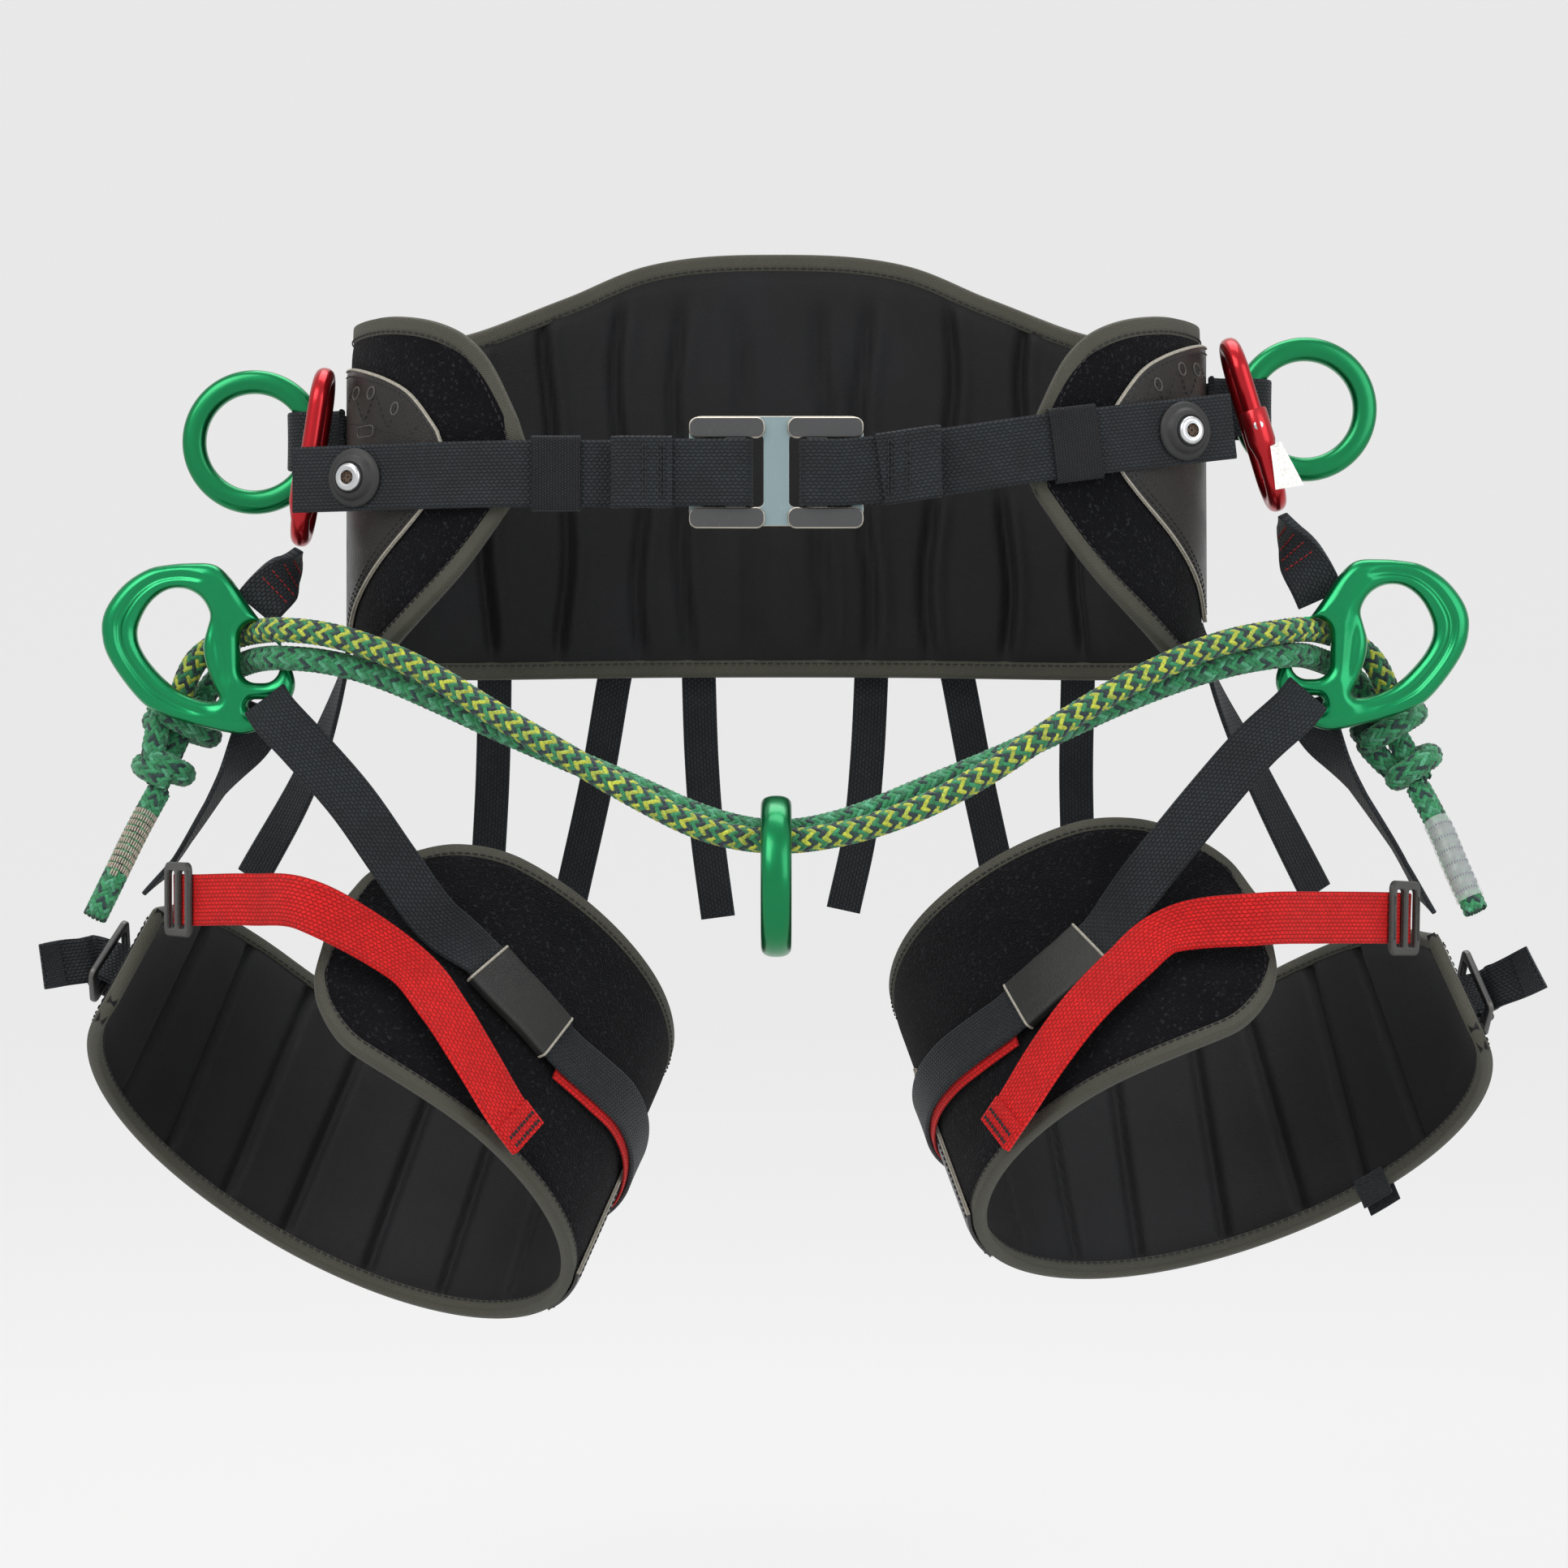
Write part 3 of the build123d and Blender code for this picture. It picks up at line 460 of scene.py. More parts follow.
def makePadNap():
    material, n, shader = newMaterial("padNap", Roughness=0.95)
    shader.inputs["Sheen Weight"].default_value = 0.04
    shader.inputs["Specular IOR Level"].default_value = 0.08
    shader.inputs["Sheen Roughness"].default_value = 0.35
    where = objectPlace(n)
    nap = place(n, "nap", Vector=where, Size=1100.0, Patch=40.0)
    base = n.mix(nap["Cloud"], (0.003, 0.003, 0.0035, 1), (0.009, 0.009, 0.011, 1))
    n.feed(shader.inputs["Base Color"], n.mix(n.maths("MULTIPLY", nap["Fleck"], 0.6), base,
                                              (0.035, 0.036, 0.043, 1)))
    n.feed(shader.inputs["Normal"], n.bump(nap["Height"], 0.0009, 1.0))
    return material


def leatherMaterial(name, colour, worn, roughness):
    material, n, shader = newMaterial(name, Roughness=roughness)
    shader.inputs["Specular IOR Level"].default_value = 0.32
    shader.inputs["Coat Weight"].default_value = 0.05
    shader.inputs["Coat Roughness"].default_value = 0.35
    where = objectPlace(n)
    grain = place(n, "grain", Vector=where, Size=750.0)
    n.feed(shader.inputs["Base Color"], n.mix(n.maths("MULTIPLY", grain["Wear"], 0.5), colour, worn))
    n.feed(shader.inputs["Roughness"], n.spread(grain["Wear"], 0.0, 1.0, roughness - 0.05, roughness + 0.12))
    n.feed(shader.inputs["Normal"], n.bump(grain["Height"], 0.00012, 0.8))
    return material


def makeMetal(name, colour, edge, roughness, metallic=1.0, coat=0.0, scratch=0.25, depth=0.00002):
    material, n, shader = newMaterial(name, Roughness=roughness, Metallic=metallic)
    shader.inputs["Coat Weight"].default_value = coat
    shader.inputs["Coat Roughness"].default_value = 0.12
    wear = place(n, "wear", Vector=objectPlace(n), Scratch=scratch)
    # painted highlight: convex edges (Pointiness) are mixed towards the lighter edge colour; the same colour
    # also tints the real scratch marks
    rim = n.add("ShaderNodeNewGeometry").outputs["Pointiness"]
    base = n.mix(n.spread(rim, 0.52, 0.6, 0.0, 0.6), colour, edge)
    n.feed(shader.inputs["Base Color"], n.mix(wear["Mark"], base, edge))
    n.feed(shader.inputs["Roughness"], n.maths("ADD", wear["Rough"], roughness - 0.1))
    n.feed(shader.inputs["Normal"], n.bump(wear["Height"], depth, 0.5))
    return material


def makePlain(name, colour, roughness, bumpScale=900.0, depth=0.00006, spot=None):
    material, n, shader = newMaterial(name, Roughness=roughness)
    grain = n.noise(objectPlace(n), bumpScale, 3.0)
    n.feed(shader.inputs["Base Color"], n.mix(n.spread(grain, 0.35, 0.75), colour,
                                              spot or shade(colour, 1.5)))
    n.feed(shader.inputs["Normal"], n.bump(grain, depth, 0.8))
    return material


def makeShrink(name):
    material, _, shader = newMaterial(name, Roughness=0.3)
    shader.inputs["Base Color"].default_value = (0.72, 0.76, 0.74, 1)
    shader.inputs["Alpha"].default_value = 0.34
    shader.inputs["Coat Weight"].default_value = 0.6
    shader.inputs["Coat Roughness"].default_value = 0.18
    return material


def makeYarn(name, rough=0.6):
    # braided sheath: the strands carry their own colour
    material, n, shader = newMaterial(name, Roughness=rough)
    shader.inputs["Sheen Weight"].default_value = 0.35
    shader.inputs["Sheen Roughness"].default_value = 0.35
    yarn = n.add("ShaderNodeAttribute", attribute_name="yarn").outputs["Color"]
    parts = n.add("ShaderNodeSeparateXYZ")
    n.feed(parts.inputs[0], uvMap(n))
    fibres = n.maths("SINE", n.maths("MULTIPLY", parts.outputs[0], 15000.0))
    fleck = n.noise(objectPlace(n), 900.0, 3.0)
    light = n.maths("ADD", n.maths("MULTIPLY", fibres, 0.12), n.spread(fleck, 0.3, 0.75, 0.62, 1.18))
    scaled = n.add("ShaderNodeVectorMath", operation="SCALE")
    n.feed(scaled.inputs[0], yarn)
    n.feed(scaled.inputs["Scale"], light)
    n.feed(shader.inputs["Base Color"], scaled.outputs[0])
    n.feed(shader.inputs["Normal"], n.bump(fibres, 0.00008, 0.7))
    return material


finishes = {
    "webbing": webbingMaterial("blackWebbing", (0.021, 0.0255, 0.031, 1), (0.0025, 0.003, 0.0036, 1),
                               0.00175, 0.0026),
    "fineWebbing": webbingMaterial("fineWebbing", (0.024, 0.028, 0.033, 1), (0.003, 0.0033, 0.004, 1),
                                   0.0012, 0.0016),
    "keeperWebbing": webbingMaterial("keeperWebbing", (0.016, 0.017, 0.02, 1), (0.002, 0.002, 0.0025, 1),
                                     0.0014,
                                     0.0014, depth=0.0006),
    "redWebbing": webbingMaterial("redWebbing", (0.74, 0.012, 0.012, 1), (0.2, 0.003, 0.003, 1), 0.0019,
                                  0.0027,
                                  depth=0.0005, sheen=0.05, gloss=0.2),
    "binding": makeBindingMaterial(),
    "liner": makePadLiner(),
    "nap": makePadNap(),
    "leather": leatherMaterial("darkLeather", (0.0095, 0.0082, 0.0075, 1), (0.022, 0.019, 0.016, 1), 0.4),
    "patchLeather": leatherMaterial("patchLeather", (0.017, 0.017, 0.0165, 1), (0.03, 0.029, 0.027, 1), 0.45),
    "creamEdge": makePlain("creamEdge", (0.27, 0.25, 0.21, 1), 0.7),
    "eyelet": makePlain("eyeletEdge", (0.06, 0.055, 0.05, 1), 0.5),
    "greenMetal": makeMetal("greenAnodised", (0.0, 0.2, 0.062, 1), (0.03, 0.45, 0.2, 1), 0.29, 0.85, 0.3,
                            0.08),
    "forgedGreen": makeMetal("greenForged", (0.0, 0.24, 0.078, 1), (0.05, 0.6, 0.29, 1), 0.27, 0.88, 0.35,
                             0.05),
    "redMetal": makeMetal("redAnodised", (0.42, 0.006, 0.012, 1), (0.7, 0.06, 0.07, 1), 0.28, 0.85, 0.3, 0.1),
    "plateSteel": makeMetal("plateSteel", (0.27, 0.36, 0.38, 1), (0.6, 0.54, 0.44, 1), 0.36, 0.9, 0.0, 0.3),
    "frameSteel": makeMetal("frameSteel", (0.085, 0.086, 0.088, 1), (0.5, 0.46, 0.41, 1), 0.4, 0.85, 0.0,
                            0.2),
    "paleEdge": makeMetal("paleEdge", (0.5, 0.45, 0.38, 1), (0.6, 0.56, 0.5, 1), 0.3, 1.0, 0.0, 0.1),
    "screwSteel": makeMetal("screwSteel", (0.55, 0.56, 0.57, 1), (0.85, 0.85, 0.85, 1), 0.3, 1.0, 0.0, 0.4),
    "darkStarSocket": makePlain("screwSocket", (0.06, 0.035, 0.02, 1), 0.6),
    "rubber": makePlain("washerRubber", (0.012, 0.012, 0.012, 1), 0.55),
    "darkPlastic": makePlain("darkPlastic", (0.03, 0.029, 0.027, 1), 0.42, depth=0.00003),
    "thread": makePlain("blackThread", (0.008, 0.008, 0.01, 1), 0.75),
    "greyThread": makePlain("greyThread", (0.12, 0.13, 0.15, 1), 0.75),
    "beigeThread": makePlain("beigeThread", (0.31, 0.27, 0.22, 1), 0.8),
    "redThread": makePlain("redThread", (0.25, 0.006, 0.006, 1), 0.8),
    "yarn": makeYarn("ropeYarn"),
    "core": makePlain("ropeCore", (0.01, 0.03, 0.02, 1), 0.9),
    "shrink": makeShrink("shrinkTube"),
    "paper": makePlain("tagPaper", (0.75, 0.74, 0.71, 1), 0.8),
}
print("finishes made")

# rope bridges: a braided sheath of strands over and under each other
ropes = {
    "diameter": 12.5,
    "lay": 40.0,        # length of one turn of a strand
    "strands": 12,      # each way
    "strandWidth": 2.75,
    "strandThickness": 1.15,
    "rise": 0.42,       # how far a strand climbs over the others
    "samples": 40,      # points on each turn
    "yellow": [(0.5, 0.56, 0.05), (0.02, 0.2, 0.075), (0.01, 0.028, 0.038), (0.42, 0.5, 0.06),
               (0.025, 0.24, 0.09),
               (0.012, 0.05, 0.045)],
    "green": [(0.02, 0.24, 0.09), (0.07, 0.34, 0.18), (0.015, 0.16, 0.066), (0.03, 0.28, 0.11),
              (0.008, 0.04, 0.036),
              (0.02, 0.23, 0.085)],
    "routeYellow": [
        (-304, -38, -122), (-300, -37, -104), (-286, -37, -92), (-270, -43, -87), (-259, -60, -86),
        (-248, -77, -86), (-226, -87, -88), (-201, -95, -95), (-170, -103, -109), (-137, -113, -130),
        (-102, -122, -150), (-68, -130, -170), (-34, -136, -187), (0, -139, -192.5), (34, -137, -188),
        (68, -132, -177), (103, -124, -159), (138, -115, -135), (171, -106, -115), (202, -97, -100),
        (228, -88, -91), (252, -77, -87), (267, -60, -85), (279, -43, -86), (294, -37, -91),
        (308, -37, -104), (313, -38, -122)],
    "routeGreen": [
        (-296, -25, -124), (-290, -24, -112), (-279, -29, -105), (-267, -44, -101), (-258, -60, -100),
        (-247, -75, -100), (-224, -80, -102), (-198, -85, -109), (-168, -91, -122), (-136, -99, -137),
        (-103, -108, -151), (-69, -117, -165), (-35, -124, -181), (0, -127.5, -188.5), (35, -124, -182),
        (70, -118, -167), (105, -110, -153), (138, -101, -138), (170, -93, -123), (201, -86, -111),
        (228, -80, -103), (252, -75, -99), (265, -60, -98), (275, -44, -100), (288, -29, -104),
        (299, -24, -112), (305, -25, -124)],
    "tails": {
        "left": [(-314, -42, -167), (-323, -55, -186), (-332, -66, -208), (-342, -72, -230)],
        "right": [(326, -42, -165), (335, -55, -184), (342, -66, -206), (351, -72, -227)]},
    "knots": {"left": ((-303, -32, -134), (-312, -38, -156)), "right": ((313, -32, -133), (324, -38, -154))},
    "knotTurns": [(15.2, 1.15), (10.8, 1.2)],  # radius and turns of the two wraps
    "knotSpread": 7.5,
    "tilt": 0.22,
}


def routeLine(points, finePer=24):
    # the smooth line of a rope, as Blender draws it
    curve = bpy.data.curves.new("route", "CURVE")
    curve.dimensions = "3D"
    curve.resolution_u = finePer
    spline = curve.splines.new("NURBS")
    spline.points.add(len(points) - 1)
    for point, at in zip(spline.points, points):
        point.co = (at[0] * mm, at[1] * mm, at[2] * mm, 1)
    spline.order_u = 3
    spline.use_endpoint_u = True
    holder = bpy.data.objects.new("route", curve)
    bpy.context.scene.collection.objects.link(holder)
    mesh = bpy.data.meshes.new_from_object(holder.evaluated_get(bpy.context.evaluated_depsgraph_get()))
    line = np.array([v.co for v in mesh.vertices]) / mm
    bpy.data.objects.remove(holder)
    bpy.data.meshes.remove(mesh)
    return line


def braid(name, line, palette, first, seed, radius=None, samples=None):
    # strands of a hollow braid round a line, two over and two under
    each, lay = ropes["strands"], ropes["lay"]
    outer = (radius or ropes["diameter"] / 2) - ropes["strandThickness"] / 2 - ropes["rise"] * 0.6
    total = lengths(line)[-1]
    count = int(total / lay * (samples or ropes["samples"])) + 2
    even = evenly(line, total / (count - 1))
    run, n = carried(even, np.array(first, float))
    b = np.cross(run, n)
    s = lengths(even)
    rng = np.random.default_rng(seed)
    across = np.array([-0.5, -0.3, 0.0, 0.3, 0.5]) * ropes["strandWidth"]
    crown = np.array([-0.55, 0.2, 0.5, 0.2, -0.55]) * ropes["strandThickness"]
    verts, faces, uvs, colours = [], [], [], []
    start = 0
    for way in (1, -1):
        for k in range(each):
            u = 2 * each * s / lay
            wave = np.cos(pi / 2 * (2 * k + way * u - 0.5)) * way
            angle = 2 * pi * (k / each + way * s / lay)
            outward = n * np.cos(angle)[:, None] + b * np.sin(angle)[:, None]
            around = b * np.cos(angle)[:, None] - n * np.sin(angle)[:, None]
            line45 = unit(run + way * around * (2 * pi * outer / lay))
            side = np.cross(outward, line45)
            high = outer + ropes["rise"] * wave
            centre = even + outward * high[:, None]
            p = centre[:, None, :] + side[:, None, :] * across[None, :,
                                                               None] + outward[:, None,
                                                                               :] * crown[None, :, None]
            verts.append(p.reshape(-1, 3))
            faces.append(gridFaces(len(even), 5, start=start))
            start += len(even) * 5
            uvs.append(np.stack(np.broadcast_arrays(across[None, :], s[:, None] * 1.4),
                                axis=-1).reshape(-1, 2))
            base = np.array(palette[(k + (2 if way < 0 else 0)) % len(palette)])
            tone = np.interp(s, np.linspace(0, total, 40), rng.uniform(0.8, 1.2, 40))
            rgba = np.ones((len(even), 5, 4))
            rgba[..., :3] = base[None, None, :] * tone[:, None, None]
            # painted shade: the two edge columns of each strand, where it tucks under its neighbours, are
            # darkened
            rgba[:, (0, 4), :3] *= 0.55
            colours.append(rgba.reshape(-1, 4))
    coreVerts, coreFaces, coreUv = tube(evenly(line, 3.0), outer - 0.7, 12, first)
    allFaces = np.vstack(faces).tolist()
    marks = [0] * len(allFaces) + [1] * len(coreFaces)
    allFaces += [[i + start for i in face] for face in coreFaces]
    colours.append(np.tile([0.01, 0.03, 0.02, 1.0], (len(coreVerts), 1)))
    return meshPiece(name, np.vstack(verts + [coreVerts]), allFaces, None, uv=np.vstack(uvs + [coreUv]),
                     colour=np.vstack(colours), mats=[finishes["yarn"], finishes["core"]], faceMats=marks)


def knotLine(side):
    # two wraps round the rope under the forged ring
    upper, lower = [np.array(p, float) for p in ropes["knots"][side]]
    axis = unit(upper - lower)
    facing = unit(np.cross(axis, (1, 0, 0)))
    other = np.cross(axis, facing)
    points = []
    turn = pi * 0.6
    for middle, (radius, turns) in zip((upper, lower), ropes["knotTurns"]):
        steps = int(turns * 10)
        for k in range(steps + 1):
            a = turn + 2 * pi * k / 10 * (1 if side == "left" else -1)
            drop = (0.5 - k / steps) * ropes["knotSpread"]
            lean = ropes["tilt"] * radius * cos(a)
            points.append(middle + facing * radius * cos(a) + other * radius * sin(a) + axis * (drop + lean))
        turn = a
    return points


def makeRopes():
    made, knots = {}, {}
    for side in sides:
        upper, lower = [np.array(p, float) for p in ropes["knots"][side]]
        line = routeLine(knotLine(side), 12)
        knot = braid(f"knotRope.{side}", line, ropes["green"], (0, 0, 1), 7 + len(side), samples=34)
        axis = unit(upper - lower)
        heart = braid(f"knotHeart.{side}", routeLine([upper + axis * 8, upper, (upper + lower) / 2, lower,
                                                      lower - axis * 9]),
                      ropes["green"], (0, 0, 1), 17 + len(side))
        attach(heart, "saddle")
        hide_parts(f"rope_knot_{side}")
        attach(knot, "saddle")
        knots[side] = knot
    for tint, points in (("yellow", ropes["routeYellow"]), ("green", ropes["routeGreen"])):
        line = routeLine(points)
        rope = braid(f"bridgeRope.{tint}", line, ropes[tint], (0, 0, 1), 3 if tint == "yellow" else 4)
        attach(rope, "saddle")
        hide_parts(f"rope_{tint}")
        print("rope", tint, round(lengths(line)[-1]), "mm")
    for side, points in ropes["tails"].items():
        line = routeLine(points)
        tail = braid(f"ropeTail.{side}", line, ropes["green"], (0, -1, 0), 11 + len(side))
        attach(tail, "saddle")
        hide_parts(f"rope_tail_{side}")
        made[side] = (tail, line, knots[side])
        print("tail", side, round(lengths(line)[-1]), "mm")
    return made


def makeCamera():
    data = bpy.data.cameras.new("mainView")
    data.lens = 106.5
    data.sensor_width = 36.0
    data.clip_end = 20
    camera = bpy.data.objects.new("mainView", data)
    camera.location = (0.0038, -2.4, -0.1634)
    camera.rotation_euler = (radians(90), 0, 0)
    bpy.context.scene.collection.objects.link(camera)
    bpy.context.scene.camera = camera


studio = {
    "floorHeight": -0.62,
    "key": {"power": 34, "size": 1.6, "at": (-1.3, -1.9, 1.5), "colour": (1, 0.985, 0.96)},
    "fill": {"power": 20, "size": 1.8, "at": (1.7, -1.8, 0.6), "colour": (0.95, 0.98, 1)},
    "top": {"power": 22, "size": 1.4, "at": (0.1, 0.4, 1.7), "colour": (1, 1, 1)},
    "low": {"power": 7, "size": 1.6, "at": (0, -2.0, -1.3), "colour": (1, 1, 1)},
    "sky": 0.72, "glow": 0.66,
}


def makeStudio():
    world = bpy.data.worlds.new("studio")
    bpy.context.scene.world = world
    world.use_nodes = True
    back = world.node_tree.nodes["Background"]
    back.inputs[0].default_value = (1, 1, 1, 1)
    back.inputs[1].default_value = studio["sky"]
    for name in ("key", "fill", "top", "low"):
        spec = studio[name]
        data = bpy.data.lights.new(name, "AREA")
        data.energy, data.size, data.color = spec["power"], spec["size"], spec["colour"]
        lamp = bpy.data.objects.new(name, data)
        lamp.location = spec["at"]
        lamp.rotation_euler = (Vector((0, 0, -0.15)) - lamp.location).to_track_quat("-Z", "Y").to_euler()
        bpy.context.scene.collection.objects.link(lamp)
    z = studio["floorHeight"]
    # a round floor that sweeps up into a pale wall all about
    rings = [(0.0002, z), (2.0, z), (4.0, z)]
    rings += [(4.0 + 3 * sin(a), z + 3 - 3 * cos(a)) for a in np.linspace(0.1, pi / 2, 14)]
    rings += [(7.0, z + 9)]
    points = [(r * cos(a), r * sin(a), h) for r,
              h in rings for a in np.linspace(0, 2 * pi, 96, endpoint=False)]
    mesh = bpy.data.meshes.new("floor")
    mesh.from_pydata(points, [], gridFaces(len(rings), 96, closeColumns=True).tolist())
    mesh.polygons.foreach_set("use_smooth", [True] * len(mesh.polygons))
    floor = bpy.data.objects.new("floor", mesh)
    bpy.context.scene.collection.objects.link(floor)
    paint, _, shader = newMaterial("floorPaint", Roughness=0.9)
    shader.inputs["Base Color"].default_value = (0.16, 0.16, 0.16, 1)
    shader.inputs["Emission Color"].default_value = (1, 1, 1, 1)
    shader.inputs["Emission Strength"].default_value = studio["glow"]
    mesh.materials.append(paint)
    bpy.context.scene.view_settings.view_transform = "Standard"


makeCamera()
makeStudio()
tails = makeRopes()
print("ropes made")


# flat webbing: a rounded ribbon along a smooth line, with its UV map across and along
def ribbonMesh(points, ways, width, thick, step=3.0, bulge=0.12):
    control = np.array(points, float)
    line = fineLine(control, step)
    far = lengths(line)
    spots = np.array([far[np.argmin(np.linalg.norm(line - c, axis=1))] for c in control])
    spots[0], spots[-1] = 0.0, far[-1]
    for i in range(1, len(spots)):
        spots[i] = max(spots[i], spots[i - 1] + 1e-3)
    ways = unit(np.array(ways, float))
    way = np.stack([np.interp(far, spots, ways[:, k]) for k in range(3)], axis=1)
    run = unit(np.gradient(line, axis=0))
    out = unit(np.cross(run, way))
    way = np.cross(out, run)
    half, deep = width / 2, thick / 2
    across = [-1, -0.985, -0.93, -0.8, -0.5, 0, 0.5, 0.8, 0.93, 0.985, 1]
    rise = [0.3, 0.75, 1.05, 1.02, 1 - bulge / 2, 1 - bulge, 1 - bulge / 2, 1.02, 1.05, 0.75, 0.3]
    ring = [(a * half, r * deep) for a, r in zip(across, rise)] + [(a * half, -r * deep)
                                                                 for a, r in zip(across[::-1], rise[::-1])]
    ring = np.array(ring)
    verts = line[:, None, :] + way[:, None, :] * ring[None, :, 0, None] + out[:, None,
                                                                              :] * ring[None, :, 1, None]
    faces = gridFaces(len(line), len(ring), closeColumns=True).tolist()
    count = len(line) * len(ring)
    faces.append(list(range(len(ring)))[::-1])
    faces.append([count - len(ring) + k for k in range(len(ring))])
    u = np.concatenate([ring[:11, 0], ring[11:, 0]])
    uv = np.stack(np.broadcast_arrays(u[None, :] + 50, far[:, None]), axis=-1).reshape(-1, 2)
    return verts.reshape(-1, 3), faces, uv, (line, way, out)


def strap(name, points, ways, width, thick, finish="webbing", body="saddle", nodes=(),
          step=3.0):
    verts, faces, uv, shape = ribbonMesh(points, ways, width, thick, step)
    obj = meshPiece(name, verts, faces, finishes[finish], body, uv=uv, sharp=50)
    if nodes:
        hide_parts(*nodes)
    return obj, shape


def stitches(name, line, normals, body, finish="thread", each=2.6, gap=1.0, radius=0.32, lift=0.15,
             slot="webbing"):
    # a row of short threads that dip at both ends
    line = np.asarray(line, float)
    far = lengths(line)
    count = max(1, int(far[-1] / (each + gap)))
    normals = np.broadcast_to(np.asarray(normals, float), line.shape)
    verts, faces, start = [], [], 0
    ringA = np.linspace(0, 2 * pi, 6, endpoint=False)
    for k in range(count):
        at = k * (each + gap) + gap / 2 + np.array([0, 0.18, 0.5, 0.82, 1]) * each
        p = along(line, line, at)
        n = unit(along(line, normals, at))
        p = p + n * (np.array([-0.5, 0.1, 0.3, 0.1, -0.5]) * radius + lift)[:, None]
        run = unit(p[-1] - p[0])
        b = np.cross(run, n)
        size = radius * np.array([0.6, 1.0, 1.0, 1.0, 0.6])
        ring = n[:, None, :] * np.cos(ringA)[None, :, None] + b[:, None, :] * np.sin(ringA)[None, :, None]
        verts.append((p[:, None, :] + ring * size[:, None, None]).reshape(-1, 3))
        faces.append(gridFaces(5, 6, closeColumns=True, start=start))
        start += 30
    obj = meshPiece(name, np.vstack(verts), np.vstack(faces).tolist(), finishes[finish], body)
    return obj


def joinStitches(name, rows, body, finish="thread", slot="webbing", **sizes):
    made = [stitches(f"{name}.{i}", line, normals, None, finish, slot=slot, **sizes) for i,
            (line, normals) in enumerate(rows)]
    verts, faces, start = [], [], 0
    for obj in made:
        mesh = obj.data
        co = np.zeros(len(mesh.vertices) * 3)
        mesh.vertices.foreach_get("co", co)
        verts.append(co.reshape(-1, 3) / mm)
        loops = np.zeros(len(mesh.loops), np.int32)
        mesh.loops.foreach_get("vertex_index", loops)
        faces.append(loops.reshape(-1, 4) + start)
        start += len(mesh.vertices)
        bpy.data.objects.remove(obj)
        bpy.data.meshes.remove(mesh)
    obj = meshPiece(name, np.vstack(verts), np.vstack(faces).tolist(), finishes[finish], body)
    return obj


# waist pad: moulded foam between cloth, bound all round
waist = {
    "halfWidth": 214.0, "halfDepth": 116.0, "squareness": 0.7, "thickness": 9.0, "edgeThickness": 5.0,
    "crownReach": 13.0,
    "top": [(0, 123), (11.5, 117), (23.7, 99), (43, 78), (62, 71), (90, 69), (104, 70), (124, 70), (138, 63),
            (145.5, 48), (151.3, 17), (153, 3)],
    "bottom": [(0, -105), (43, -107), (90, -108), (104, -107), (112, -104), (118, -98), (131.4, -77),
               (141.7, -54),
               (151.3, -20), (153, -8)],
    "upperChannels": [-166, -125, -86, -54, -19, 26, 47, 93, 134, 172],
    "lowerChannels": [-157, -116, -74, -50, -14, 24, 49, 83, 124, 164],
    "upperSpan": (6, 92), "lowerSpan": (-92, -10),
    "channelDepth": 5.2, "channelWidth": 2.9,
    "binding": 7.6,
}


def power(value, exponent):
    return np.sign(value) * np.abs(value) ** exponent


def hoopFlat(angle):
    a = np.radians(angle)
    return np.stack([-waist["halfWidth"] * power(np.sin(a), waist["squareness"]),
                     waist["halfDepth"] * power(np.cos(a), waist["squareness"])], axis=-1)


def hoopOut(angle):
    run = unit(hoopFlat(np.asarray(angle) + 0.5) - hoopFlat(np.asarray(angle) - 0.5))
    return np.stack([run[..., 1], -run[..., 0], np.zeros(run.shape[:-1])], axis=-1)


def hoop(angle, z, off=0.0):
    flat = hoopFlat(angle)
    base = np.concatenate([flat, np.broadcast_to(np.asarray(z, float), flat.shape[:-1])[..., None]], axis=-1)
    return base + hoopOut(angle) * np.asarray(off, float)[..., None]


def wingAngle(side, x):
    # the angle on the front half where the pad is x from the middle
    angles = np.linspace(92, 153, 400)
    reach = np.abs(hoopFlat(angles)[:, 0])
    return -sides[side] * np.interp(-abs(x), -reach, angles)


def channelField(x, z):
    deep = np.zeros(np.broadcast(x, z).shape)
    for places, (low, high) in ((waist["upperChannels"], waist["upperSpan"]),
                                (waist["lowerChannels"], waist["lowerSpan"])):
        ends = 1 / (1 + np.exp(-(z - low) / 3.5)) / (1 + np.exp((z - high) / 3.5))
        for place in places:
            bend = 2.5 * np.sin(z * 0.05 + place)
            deep += np.exp(-((x - place - bend) / waist["channelWidth"]) ** 2) * ends
            deep -= 0.35 * np.exp(-((x - place - bend - 6.5) / 4.0) ** 2) * ends
    return deep


def wrinkleField(x, z, seed=5):
    rng = np.random.default_rng(seed)
    field = np.zeros(np.broadcast(x, z).shape)
    for _ in range(9):
        fx, fz, phase = rng.uniform(0.05, 0.16), rng.uniform(0.008, 0.035), rng.uniform(0, 6.3)
        field += np.sin(x * fx + phase + 1.3 * np.sin(z * fz + phase)) / 9
    return field


